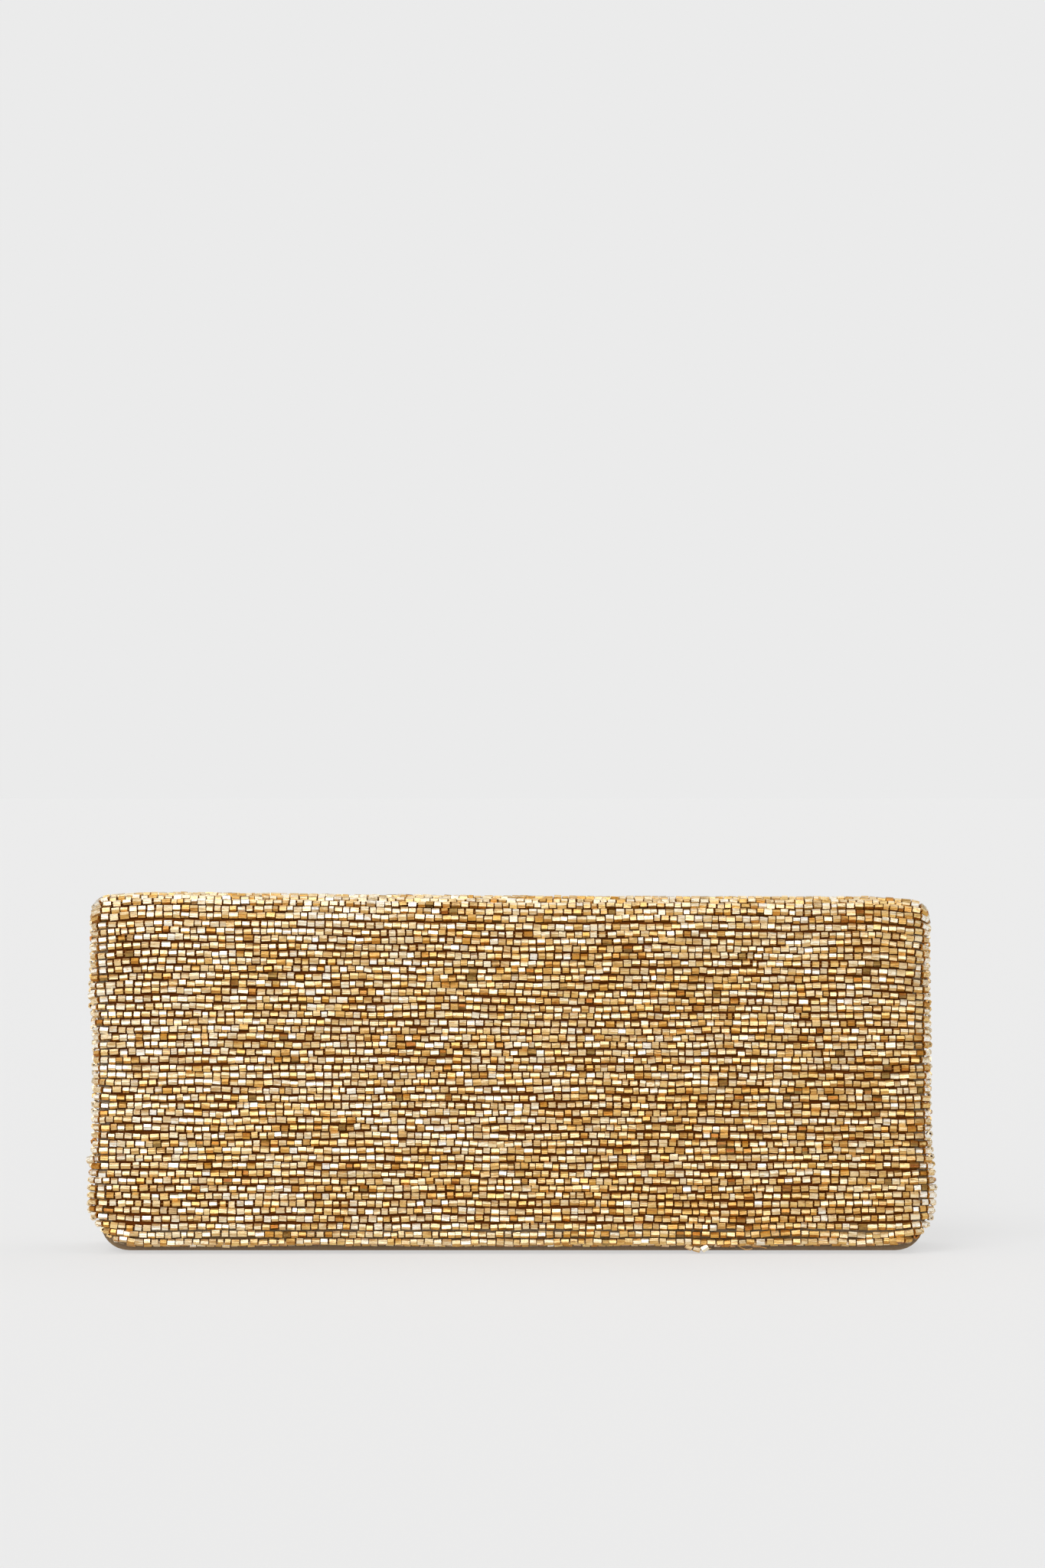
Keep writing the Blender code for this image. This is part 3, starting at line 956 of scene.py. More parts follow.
@dataclass(frozen=True)
class Paper:
    """The studio's paper sweep."""

    name: str = "studio_paper"
    base: Colour = (0.265, 0.265, 0.265)
    grain: Colour = (0.262, 0.262, 0.262)
    glow: float = 0.5630

    def make(self) -> Material:
        """Make the material."""
        work = Surface.start(self.name)
        grain = work.noise(work.position, 900.0, 3.0)
        share = work.range(grain, 0.3, 0.7, 0.0, 0.02)
        colour = work.mix(share, (*self.base, 1.0), (*self.grain, 1.0))
        work.put(work.shader.inputs["Base Color"], colour)
        work.put(work.shader.inputs["Roughness"], work.range(grain, 0.3, 0.7, 0.85, 0.95))
        work.bump(grain, 0.05, 0.0001)
        work.constants(Specular_IOR_Level=0.1, Emission_Strength=self.glow)
        work.constants(Emission_Color=(1.0, 1.0, 1.0, 1.0))
        return work.material


@dataclass
class Wardrobe:
    """Every finish on the bag, each made once."""

    beads: Material = field(default_factory=lambda: BeadGlass().make())
    backing: Material = field(default_factory=lambda: Cloth(
        "backing_cloth", (0.210, 0.050, 0.003), (0.120, 0.030, 0.002), (0.360, 0.130, 0.016),
        0.00035, 2.0, 0.8, 0.0, 0.00005, 0.1).make())
    # Partly painted shade: a dark bronze satin whose colour is darkened further to stand for the shadow on
    # the band under the flap.
    satin: Material = field(default_factory=lambda: Cloth(
        "gold_satin", (0.190, 0.112, 0.042), (0.120, 0.066, 0.022), (0.330, 0.215, 0.095),
        0.00024, 5.0, 0.36, 0.35).make())
    lining: Material = field(default_factory=lambda: Cloth(
        "lining_satin", (0.520, 0.390, 0.210), (0.420, 0.300, 0.150), (0.660, 0.530, 0.330),
        0.00024, 5.0, 0.38, 0.35).make())
    felt: Material = field(default_factory=lambda: Felt().make())
    card: Material = field(default_factory=lambda: Card().make())
    gilt: Material = field(default_factory=lambda: Metal(
        "gilt_metal", (0.83, 0.61, 0.26), (0.50, 0.33, 0.12), 0.24).make())
    magnet: Material = field(default_factory=lambda: Metal(
        "magnet_metal", (0.22, 0.22, 0.23), (0.12, 0.12, 0.13), 0.42).make())
    bead_thread: Material = field(default_factory=lambda: Thread(
        "bead_thread", (0.420, 0.190, 0.030), (0.720, 0.420, 0.110)).make())
    sewing: Material = field(default_factory=lambda: Thread(
        "sewing_thread", (0.560, 0.420, 0.230), (0.740, 0.600, 0.380)).make())


class Slot(Enum):
    """The record's material slots that cloth and beads belong to."""

    BEADING = "beading"
    SATIN = "satin"
    LINING = "lining_satin"
    FELT = "felt"


def dress(piece: Piece, material: Material, body: str | None, slot: Slot, *nodes: str) -> Piece:
    """Give a piece its finish and its body, and hide the frame's pieces that it stands for.

    Args:
        piece: The piece.
        material: Its finish.
        body: The body that it rides on, or None for a piece that rides on no body.
        slot: Not used.
        *nodes: The frame's pieces that it stands for.

    Returns:
        The piece.
    """
    piece.data.materials.clear()
    piece.data.materials.append(material)
    if body is not None:
        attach(piece, body)
    if nodes:
        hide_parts(*nodes)
    log.info("%s: %d faces", piece.name, len(piece.data.polygons))
    return piece


# ---------------------------------------------------------------------------------------------
# Beads
# ---------------------------------------------------------------------------------------------


@dataclass
class BeadBatch:
    """Cut glass tubes gathered into one mesh, each with its own size, turn, tone and cut ends."""

    seed: int
    sides: int = 6
    radius: float = 0.95 * MM
    hole: float = 0.40 * MM
    chamfer: float = 0.10 * MM
    slant: float = 0.07 * MM
    unevenness: float = 0.045
    # Painted shade: how much darker the tone of a facet turned sideways or down is made.
    side_painted_shade: float = 0.26
    under_painted_shade: float = 0.30
    end_tone: float = 0.12
    # Painted shade: the light value given to the cut ends and to the inside of the hole.
    end_painted_shade: float = 0.25
    hole_painted_shade: float = -0.95
    centres: list = field(default_factory=list)
    axes: list = field(default_factory=list)
    ups: list = field(default_factory=list)
    lengths: list = field(default_factory=list)
    tones: list = field(default_factory=list)
    ends: list = field(default_factory=list)

    def add(
        self, centres: Array, axes: Array, ups: Array, lengths: Array, tones: Array, clear: float = 0.1,
    ) -> None:
        """Add beads.

        Args:
            centres: Their middles.
            axes: The directions of their holes.
            ups: Directions away from the cloth.
            lengths: Their lengths.
            tones: Their tones, from 0 (bronze) to 1 (silver).
            clear: How much of its own tone a bead keeps at its cut ends, from 0 to 1.
        """
        self.centres.append(centres)
        self.axes.append(axes)
        self.ups.append(np.broadcast_to(ups, centres.shape))
        self.lengths.append(np.broadcast_to(lengths, centres.shape[:1]))
        self.tones.append(np.broadcast_to(tones, centres.shape[:1]))
        self.ends.append(self.end_tone + clear * (self.tones[-1] - self.end_tone))

    def rings(self, draw: np.random.Generator) -> tuple[Array, Array, Array]:
        """The beads' points: four rings each, round the outside and round the hole.

        Args:
            draw: The random numbers.

        Returns:
            The points, and how far each outer facet turns away from the cloth and down, from 0 to 1, for its
            painted shade.
        """
        centres, axes, ups = (np.concatenate(part) for part in (self.centres, self.axes, self.ups))
        lengths = np.concatenate(self.lengths)
        count = len(centres)
        axes = axes / np.linalg.norm(axes, axis=1)[:, None]
        first = ups - (ups * axes).sum(1)[:, None] * axes
        first /= np.linalg.norm(first, axis=1)[:, None]
        second = np.cross(axes, first)
        step = 2 * math.pi / self.sides
        angles = draw.uniform(0, step, count)[:, None] + np.arange(self.sides) * step
        angles = angles + draw.normal(0, 0.08, angles.shape)
        middles = angles + step / 2
        facing = np.clip(np.cos(middles), 0.0, 1.0)
        down = -np.cos(middles) * first[:, 2:] - np.sin(middles) * second[:, 2:]
        under = np.clip(down, 0.0, 1.0)
        outer = self.radius * draw.normal(1.0, 0.055, count)[:, None]
        outer = outer * (1.0 + self.unevenness * draw.uniform(-1, 1, angles.shape))
        found = []
        for end, reach, radius in (
            (-1.0, -self.chamfer, outer), (1.0, -self.chamfer, outer),
            (1.0, 0.0, self.hole), (-1.0, 0.0, self.hole),
        ):
            cut = self.slant * draw.normal(0, 1, count)[:, None] if reach else 0.0 * outer[:, :1]
            place = end * (lengths[:, None] / 2 + reach) + cut * np.cos(angles)
            spoke = np.cos(angles)[..., None] * first[:, None] + np.sin(angles)[..., None] * second[:, None]
            radius = np.broadcast_to(radius, angles.shape)
            found.append(centres[:, None] + place[..., None] * axes[:, None] + radius[..., None] * spoke)
        return np.stack(found, axis=1), facing, under

    def piece(self, name: str) -> Piece:
        """Make one object of the beads, with each face's tone, its painted light and shade, and its own place
        in the baking layout.
        """
        draw = np.random.default_rng(self.seed)
        rings, facing, under = self.rings(draw)
        count, bands = rings.shape[:2]
        index = np.arange(rings[..., 0].size).reshape(count, bands, self.sides)
        beside = np.roll(index, -1, axis=2)
        quads = np.stack([index, beside, np.roll(beside, -1, axis=1), np.roll(index, -1, axis=1)], axis=-1)
        made = make_mesh(name, rings.reshape(-1, 3), quads.reshape(-1, 4), tidy=False)
        # Painted light: each outer facet gets a random brightness, the cut ends a dimmer painted shade and
        # the hole a dark painted shade.
        facet_lights = draw.uniform(0.0, 1.0, (count, bands, self.sides))
        facet_lights[:, 1], facet_lights[:, 3] = self.end_painted_shade, self.end_painted_shade
        facet_lights[:, 2] = self.hole_painted_shade
        tones = np.tile(np.concatenate(self.tones)[:, None, None], (1, bands, self.sides))
        # Painted shade: outer facets that turn away from the cloth or downwards take a darker tone.
        tones[:, 0] -= self.side_painted_shade * (1.0 - facing) + self.under_painted_shade * under
        tones[:, 1:] = np.concatenate(self.ends)[:, None, None]
        for attribute, values in ((TONE, tones.ravel()), (FACET_LIGHT, facet_lights.ravel())):
            layer = made.data.attributes.new(attribute, "FLOAT", "FACE")
            layer.data.foreach_set("value", np.clip(values, -1.0, 1.0).astype(np.float32))
        self.lay_out(made.data, count, bands)
        return made

    def lay_out(self, mesh: bpy.types.Mesh, count: int, bands: int) -> None:
        """Give each bead a cell of the baking layout, and each of its faces a part of the cell.

        Args:
            mesh: The beads' mesh.
            count: How many beads it has.
            bands: How many rings of faces a bead has.
        """
        cells = math.ceil(math.sqrt(count))
        counts = (np.arange(count), np.arange(bands), np.arange(self.sides))
        bead, band, side = np.meshgrid(*counts, indexing="ij")
        corner_u = np.array([0.06, 0.94, 0.94, 0.06])
        corner_v = np.array([0.06, 0.06, 0.94, 0.94])
        u = (bead[..., None] % cells + (side[..., None] + corner_u) / self.sides * 0.94 + 0.03) / cells
        v = (bead[..., None] // cells + (band[..., None] + corner_v) / bands * 0.94 + 0.03) / cells
        layer = mesh.uv_layers.new(name=BEADS_UV)
        layer.data.foreach_set("uv", np.stack([u, v], axis=-1).astype(np.float32).ravel())


@dataclass(frozen=True)
class BeadWork:
    """How the rows of beads lie on the cloth."""

    pitch: float = 2.39 * MM
    length: float = 2.22 * MM
    length_spread: float = 0.27 * MM
    lift: float = 1.16 * MM
    side_radius: float = 4.6 * MM
    side_start: float = 4.0 * MM
    row_end: float = 0.35 * MM
    row_tail: float = 0.3 * MM
    line_points: int = 70
    edge_inset: float = 0.58 * MM
    edge_depth: float = -1.20 * MM
    edge_length: float = 2.1 * MM
    wander: float = 0.32 * MM
    curl: float = 0.8 * MM
    curl_reach: float = 22 * MM
    curl_rise: float = 34 * MM
    thread: float = 0.11 * MM
    shift_along: float = 0.11 * MM
    shift_out: float = 0.07 * MM
    tilt_along: float = 0.040
    tilt_out: float = 0.03
    tone: float = 0.63
    tone_spread: float = 0.090
    tone_patch: float = 0.055
    # Painted light: how much paler the beads grow towards the top and the left.
    tone_painted_light: float = 0.110
    dark_share: float = 0.105
    bronze_share: float = 0.24
    pale_from: float = 0.965

    def tones(self, points: Array, drape: Drape, draw: np.random.Generator) -> Array:
        """Draw the beads' tones: mostly champagne, in patches; paler towards the top and the left as painted
        light from the upper left, with more pale beads at the sides as a painted highlight.

        Args:
            points: The beads' middles.
            drape: The cloth's overall sizes.
            draw: The random numbers.

        Returns:
            One tone for each bead.
        """
        x, z = points[:, 0], points[:, 2]
        patch = soft_noise(x / 0.017, z / 0.0065, 31) + 0.7 * soft_noise(x / 0.052, z / 0.019, 32)
        near = smooth_step(0.95, 1.0, np.abs(x) / drape.half_width)
        # Painted light from the upper left: the tone rises towards the top and the left, and fewer beads
        # there are dark.
        painted_light = 0.5 * z / drape.crest - 0.5 * x / drape.half_width
        count = len(x)
        pick = draw.random(count)
        tones = draw.normal(self.tone, self.tone_spread, count)
        tones = tones - self.tone_patch * patch + self.tone_painted_light * painted_light
        dark = np.clip(self.dark_share + 0.075 * patch - 0.05 * painted_light, 0.015, 0.4)
        tones = np.where(pick < dark, draw.uniform(0.30, 0.48, count), tones)
        tones = np.where(pick < self.bronze_share * dark + 0.02 * near, draw.uniform(0.0, 0.16, count), tones)
        # Painted highlight: more pale beads at the sides and towards the upper left.
        bright = pick > self.pale_from - 0.60 * near - 0.06 * painted_light
        return np.clip(np.where(bright, draw.uniform(0.86, 1.0, count), tones), 0.0, 1.0)

    def line(self, skin: Skin, half: float, row: float, depth: float, end: float | None) -> Callable:
        """The line that a row's thread follows: across, and round the sides.

        Args:
            skin: The stretch of cloth.
            half: Half the cloth's width at this row.
            row: The row's place along the cloth.
            depth: How far out of the cloth the row lies.
            end: Where the wall ends, for rows that curl up towards its corners, or None.

        Returns:
            A function from distance along the row to points.
        """
        turn_start = half - self.side_start

        def points(s: Array) -> Array:
            """Points of the row at distances from its middle."""
            angle = np.clip((np.abs(s) - turn_start) / self.side_radius, 0.0, 1.3)
            x = np.sign(s) * (np.minimum(np.abs(s), turn_start) + self.side_radius * np.sin(angle))
            w = depth - self.side_radius * (1.0 - np.cos(angle))
            v = row + self.wander * soft_noise(x / 0.021 + 11.0, np.full_like(x, row / 0.0052 + 5.0), 21)
            v = v + 0.4 * self.wander * soft_noise(x / 0.0075, np.full_like(x, row / 0.0019 + 3.0), 22)
            if end is not None:
                near = np.clip((np.abs(x) - skin.drape.half_width + self.curl_reach) / self.curl_reach, 0, 1)
                low = smooth_step(self.curl_rise, 0.0, np.full_like(x, end - row))
                v = v - self.curl * low * near ** 2
            return skin.place(x, v, w)

        return points

    def row(
        self, batch: BeadBatch, skin: Skin, reach: float, points: Callable, draw: np.random.Generator,
    ) -> None:
        """String one row of beads.

        Args:
            batch: Where the beads go.
            skin: The stretch of cloth.
            reach: Half the row's length.
            points: The line that the row follows.
            draw: The random numbers.
        """
        count = round(2 * reach / self.pitch)
        lengths = np.clip(draw.normal(self.length, self.length_spread, count), 1.35 * MM, 3.5 * MM)
        gaps = np.clip(draw.gamma(1.6, 1.0, count), 0.15, 6.0)
        gaps *= max(2 * reach - lengths.sum(), 0.02 * MM * count) / gaps.sum()
        lengths *= 2 * reach / (lengths.sum() + gaps.sum())
        gaps *= 2 * reach / (lengths.sum() + gaps.sum())
        middle = np.cumsum(lengths + gaps) - gaps / 2 - lengths / 2 - reach
        start, stop = points(middle - lengths / 2), points(middle + lengths / 2)
        centres = (start + stop) / 2
        centres = centres + draw.normal(0, self.shift_along, (count, 1)) * skin.along
        centres = centres + draw.normal(0, self.shift_out, (count, 1)) * skin.outward
        axes = (stop - start) / np.linalg.norm(stop - start, axis=1)[:, None]
        axes = axes + draw.normal(0, self.tilt_along, (count, 1)) * skin.along
        axes = axes + draw.normal(0, self.tilt_out, (count, 1)) * skin.outward
        batch.add(centres, axes, skin.outward, lengths, self.tones(centres, skin.drape, draw))

    def edging(self, batch: BeadBatch, skin: Skin, x: Array, v: Array, draw: np.random.Generator) -> None:
        """Stand beads along an edge with their holes facing out of the cloth.

        Args:
            batch: Where the beads go.
            skin: The stretch of cloth.
            x: Their places across.
            v: Their places along.
            draw: The random numbers.
        """
        count = len(x)
        depth = self.edge_depth + draw.normal(0, 0.12 * MM, count)
        centres = skin.place(x, v, depth)
        axes = skin.outward + draw.normal(0, 0.16, (count, 3))
        lengths = np.clip(draw.normal(self.edge_length, 0.15 * MM, count), 1.5 * MM, 2.6 * MM)
        up = np.array([1.0, 0.0, 0.0])
        batch.add(centres, axes, up, lengths, self.tones(centres, skin.drape, draw), 0.85)


# ---------------------------------------------------------------------------------------------
# Sewing
# ---------------------------------------------------------------------------------------------


@dataclass(frozen=True)
class Sewing:
    """Panels, hems and stitches."""

    wear: Wardrobe
    stitch: float = 1.7 * MM
    pitch: float = 2.5 * MM
    thread: float = 0.11 * MM
    columns: int = 81

    def panel(
        self, name: str, skin: Skin, outline: Outline,
        face: float, thickness: float, relief: float = 0.05 * MM,
    ) -> Piece:
        """Make a flat panel of cloth with slight unevenness.

        Args:
            name: The piece's name.
            skin: The stretch that it lies on.
            outline: Its edge.
            face: How far out of the stretch its outer face is.
            thickness: Its thickness.
            relief: How uneven it is.

        Returns:
            The panel.
        """
        v = outline.stations(40)[:, None]
        x = outline.half(v) * np.linspace(-1.0, 1.0, self.columns)[None, :]
        v = np.broadcast_to(v, x.shape)
        seed = sum(map(ord, name))
        uneven = relief * soft_noise(x / 0.009 + seed % 17, v / 0.007 + seed % 13, seed)
        low = face - thickness
        return closed_sheet(name, skin.place(x, v, face + uneven), skin.place(x, v, low + uneven))

    def hem(self, name: str, skin: Skin, line: Array, away: Array, profile: Sequence[tuple]) -> Piece:
        """Fold a band of cloth round an edge.

        Args:
            name: The piece's name.
            skin: The stretch that the edge belongs to.
            line: Points (x, v) along the edge.
            away: Directions (x, v) away from the panel.
            profile: The band's section as (distance away, distance out of the stretch).

        Returns:
            The hem, closed at both ends.
        """
        section = np.array(profile)
        across = line[:, None] + away[:, None] * section[None, :, :1]
        points = skin.place(across[..., 0], across[..., 1], np.broadcast_to(section[:, 1], across.shape[:2]))
        rows, sides = points.shape[:2]
        index = np.arange(rows * sides).reshape(rows, sides)
        faces = quads_of(np.concatenate([index, index[:, :1]], axis=1)).tolist()
        half = sides // 2
        for end in (index[0], index[-1]):
            faces.extend(quads_of(np.stack([end[:half], end[::-1][:half]])).tolist())
        return make_mesh(name, points.reshape(-1, 3), faces)

    def stitches(self, name: str, skin: Skin, line: Array, level: float, side: float) -> Piece:
        """Sew a line of stitches on a panel.

        Args:
            name: The piece's name.
            skin: The stretch that they lie on.
            line: Points (x, v) along the seam.
            level: How far out of the stretch the sewn face is.
            side: 1 for stitches on the outer face and -1 for the inner one.

        Returns:
            The stitches.
        """
        lengths = np.concatenate([[0.0], np.cumsum(np.linalg.norm(np.diff(line, axis=0), axis=1))])
        rise = np.array([-0.12, 0.07, 0.12, 0.07, -0.12]) * MM
        batch = TubeBatch(5)
        for start in np.arange(0.4 * self.pitch, lengths[-1] - self.pitch, self.pitch):
            at = start + np.linspace(0.0, self.stitch, 5)
            x, v = np.interp(at, lengths, line[:, 0]), np.interp(at, lengths, line[:, 1])
            batch.add(skin.place(x, v, level + side * rise), self.thread, skin.outward)
        return batch.piece(name)


def band(
    depth_in: float, top: float, bottom: float, flange: float, thickness: float = 0.14 * MM,
) -> list[tuple]:
    """The section of cloth folded round an edge, outer side and then inner side.

    Args:
        depth_in: How far the outer leaf reaches in over the panel.
        top: How far out of the stretch the outer leaf lies.
        bottom: How far out the inner leaf lies.
        flange: How far the inner leaf reaches in.
        thickness: The cloth's thickness.

    Returns:
        Points as (distance away from the edge, distance out of the stretch).
    """
    soft = 0.45 * MM
    outer = [
        (-depth_in, top), (-2 * soft, top - 0.02 * MM), (-0.7 * soft, top - 0.3 * soft),
        (-0.1 * soft, top - soft), (0.0, top - 1.8 * soft), (0.0, bottom + 1.2 * soft),
        (-0.15 * soft, bottom + 0.6 * soft), (-0.7 * soft, bottom + 0.1 * soft), (-flange, bottom),
    ]
    inner = [(min(away + (thickness if away < -soft else 0.0), 0.0) - thickness,
              out + (-thickness if out > (top + bottom) / 2 else thickness)) for away, out in outer]
    return outer + inner[::-1]


# ---------------------------------------------------------------------------------------------
# The beaded cloth
# ---------------------------------------------------------------------------------------------


@dataclass
class BeadedWall:
    """The back or the flap: its rows of beads on their cloth, edged with beads and hemmed in satin."""

    cut: Cut
    wear: Wardrobe
    name: str
    body: str
    side: float
    foot: float
    seed: int
    work: BeadWork = field(default_factory=BeadWork)
    rows: int = 43
    split_row: int = 22
    first_row: float = 0.86 * MM
    last_row: float = 1.08 * MM
    cloth_face: float = -0.14 * MM
    cloth_depth: float = 0.26 * MM
    hem_inset: float = 1.72 * MM
    hem_inner: float = -3.30 * MM
    hem_outer: float = 0.02 * MM
    hem_front_leaf: float = 3.2 * MM
    hem_back_leaf: float = 2.9 * MM
    hem_start: float = 0.9 * MM
    hem_step: float = 1.6 * MM
    seam_inset: float = 2.1 * MM
    seam_step: float = 0.8 * MM
    cloth_inset: float = 0.2 * MM
    under_row: float = 0.75 * MM
    under_depth: float = -0.85 * MM

    def __post_init__(self) -> None:
        """Work out the wall's stretch and its outline."""
        self.skin = self.cut.wall(self.body, self.side)
        self.outline = Outline(self.cut.half_width, 0.0, self.cut.wall_length, self.cut.lower_corner)
        self.sewing = Sewing(self.wear)

    def build(self) -> None:
        """Make the wall's pieces."""
        self.beads()
        self.cloth()
        self.hem()
        self.threads()

    def row_places(self) -> Array:
        """The rows' places along the wall, the first one close to the fold."""
        return np.linspace(self.first_row, self.cut.wall_length - self.last_row, self.rows)

    def row_line(self, row: float) -> tuple[Callable, float]:
        """A row's line and half its length."""
        half = float(self.outline.half(np.array(row)))
        line = self.work.line(self.skin, half, row, self.work.lift, self.cut.wall_length)
        return line, half - self.work.row_end + self.work.row_tail

    def beads(self) -> None:
        """String the rows and the edging, as an upper and a lower piece."""
        draw = np.random.default_rng(self.seed)
        upper, lower = BeadBatch(self.seed + 1), BeadBatch(self.seed + 2)
        for number, row in enumerate(self.row_places()):
            line, reach = self.row_line(row)
            batch = upper if number < self.split_row else lower
            self.work.row(batch, self.skin, reach, line, draw)
        under = self.cut.wall_length - self.under_row
        line = self.work.line(self.skin, self.cut.half_width, under, self.under_depth, None)
        self.work.row(lower, self.skin, self.cut.half_width - self.cut.lower_corner, line, draw)
        places, _ = self.outline.inside(self.work.edge_inset).edge(self.cut.wall_length / self.rows)
        sides = np.abs(places[:, 0]) > self.cut.half_width - 0.75 * self.cut.lower_corner
        high = places[:, 1] < self.split_row * self.cut.wall_length / self.rows
        self.work.edging(upper, self.skin, *places[sides & high].T, draw)
        self.work.edging(lower, self.skin, *places[sides & ~high].T, draw)
        for batch, part in ((upper, "upper"), (lower, "lower")):
            piece = batch.piece(f"{self.name}_beads_{part}")
            dress(piece, self.wear.beads, self.body, Slot.BEADING, f"{self.name}_beading")

    def cloth(self) -> None:
        """Make the backing cloth that the beads are sewn to."""
        inner = self.outline.inside(self.hem_inset + self.cloth_inset)
        inner = Outline(inner.half_width, -self.cloth_inset, inner.end, inner.radius)
        piece = self.sewing.panel(f"{self.name}_backing", self.skin, inner, self.cloth_face, self.cloth_depth)
        dress(piece, self.wear.backing, self.body, Slot.SATIN)

    def hem(self) -> None:
        """Fold the satin round the wall's sides and foot, and sew it to the lining."""
        half = self.cut.half_width - self.hem_inset
        radius = self.cut.lower_corner - self.hem_inset
        outline = Outline(half, self.hem_start, self.foot, radius)
        line, away = outline.edge(self.hem_step)
        section = band(self.hem_front_leaf, self.hem_outer, self.hem_inner, self.hem_back_leaf)
        piece = self.sewing.hem(f"{self.name}_hem", self.skin, line, away, section)
        dress(piece, self.wear.satin, self.body, Slot.SATIN)
        seam, _ = outline.inside(self.seam_inset).edge(self.seam_step)
        stitches = self.sewing.stitches(f"{self.name}_hem_stitches", self.skin, seam, self.hem_inner, -1.0)
        dress(stitches, self.wear.sewing, self.body, Slot.SATIN)

    def threads(self) -> None:
        """Run the thread through each row."""
        batch = TubeBatch(4)
        for row in self.row_places():
            line, reach = self.row_line(row)
            path = line(np.linspace(-reach, reach, self.work.line_points))
            batch.add(path, self.work.thread, self.skin.outward)
        dress(batch.piece(f"{self.name}_bead_threads"), self.wear.bead_thread, self.body, Slot.SATIN)


@dataclass
class BeadedFold:
    """The fold: five strips of beaded cloth with lining inside, each riding its own body."""

    cut: Cut
    wear: Wardrobe
    seed: int
    work: BeadWork = field(default_factory=BeadWork)
    row_spread: float = 1.17 * MM
    bead_radius: float = 1.03 * MM
    corner_share: float = 0.1
    cloth_face: float = -0.14 * MM
    cloth_depth: float = 0.26 * MM
    lining_face: float = -0.5 * MM
    lining_overlap: float = 0.06 * MM
    hem_inset: float = 1.72 * MM
    hem_outer: float = 0.02 * MM
    hem_inner: float = -1.05 * MM
    hem_front_leaf: float = 2.6 * MM
    hem_back_leaf: float = 2.4 * MM
    cloth_inset: float = 0.2 * MM
    overlap: float = 0.25 * MM

    def half_at(self, number: int, v: float) -> float:
        """Half the width of a strip at a place along it."""
        angle = self.cut.turn * ((self.cut.strips - 1) / 2 - number)
        lift = self.cut.beads / 2 * math.cos(angle)
        near = self.cut.top_inset(self.cut.bending_line(number)[2] + lift)
        far = self.cut.top_inset(self.cut.bending_line(number + 1)[2] + lift)
        share = v / self.cut.strip_length
        return self.cut.half_width - self.corner_share * (near * (1 - share) + far * share)

    def build(self) -> None:
        """Make every strip's pieces."""
        draw = np.random.default_rng(self.seed)
        for number in range(self.cut.strips):
            skin = self.cut.strip(number)
            self.beads(number, skin, draw)
            self.cloth(number, skin)
            self.hem(number, skin)

    def beads(self, number: int, skin: Skin, draw: np.random.Generator) -> None:
        """String a strip's rows, edging and threads."""
        batch, threads = BeadBatch(self.seed + 1 + number, radius=self.bead_radius), TubeBatch(4)
        places = self.cut.strip_length / 2 + self.row_spread * np.array([-1.0, 1.0])
        for row in places:
            half = self.half_at(number, row)
            line = self.work.line(skin, half, row, self.work.lift, None)
            reach = half - self.work.row_end + self.work.row_tail
            self.work.row(batch, skin, reach, line, draw)
            path = line(np.linspace(-reach, reach, self.work.line_points))
            threads.add(path, self.work.thread, skin.outward)
            edge = half - self.work.edge_inset
            self.work.edging(batch, skin, np.array([-edge, edge]), np.array([row, row]), draw)
        order = number + 1
        piece = batch.piece(f"fold_beads_{order}")
        dress(piece, self.wear.beads, skin.body, Slot.BEADING, f"fold_beading_{order}")
        dress(threads.piece(f"fold_threads_{order}"), self.wear.bead_thread, skin.body, Slot.SATIN)

    def panel(self, number: int, skin: Skin, name: str, ends: tuple, face: float, depth: float) -> Piece:
        """Make a strip of cloth.

        Args:
            number: Which strip.
            skin: Its stretch.
            name: The piece's name.
            ends: Where it starts and ends along the stretch.
            face: How far out its outer face is.
            depth: Its thickness.

        Returns:
            The strip.
        """
        v = np.linspace(*ends, 7)[:, None]
        half = np.array([[self.half_at(number, place)] for place in v[:, 0]])
        half = half - self.hem_inset - self.cloth_inset
        x = half * np.linspace(-1.0, 1.0, 81)[None, :]
        v = np.broadcast_to(v, x.shape)
        uneven = 0.04 * MM * soft_noise(x / 0.007, v / 0.002 + 5 * number, 51)
        return closed_sheet(name, skin.place(x, v, face + uneven), skin.place(x, v, face - depth + uneven))

    def cloth(self, number: int, skin: Skin) -> None:
        """Make a strip's backing cloth and its lining."""
        order = number + 1
        ends = (-self.overlap, self.cut.strip_length + self.overlap)
        backing = self.panel(number, skin, f"fold_backing_{order}", ends, self.cloth_face, self.cloth_depth)
        dress(backing, self.wear.backing, skin.body, Slot.SATIN)
        ends = (-self.lining_overlap, self.cut.strip_length + self.lining_overlap)
        lining = self.panel(number, skin, f"fold_inside_{order}", ends, self.lining_face, self.cut.cloth)
        dress(lining, self.wear.lining, skin.body, Slot.LINING, f"fold_lining_{order}")

    def hem(self, number: int, skin: Skin) -> None:
        """Fold satin round a strip's two ends."""
        v = np.linspace(-self.overlap, self.cut.strip_length + self.overlap, 6)
        half = np.array([self.half_at(number, place) for place in v]) - self.hem_inset
        section = band(self.hem_front_leaf, self.hem_outer, self.hem_inner, self.hem_back_leaf)
        for end, side in ((-1.0, "left"), (1.0, "right")):
            line = np.stack([end * half, v], axis=-1)
            away = np.broadcast_to(np.array([end, 0.0]), line.shape)
            part = Sewing(self.wear).hem(f"fold_hem_{number + 1}_{side}", skin, line, away, section)
            dress(part, self.wear.satin, skin.body, Slot.SATIN)


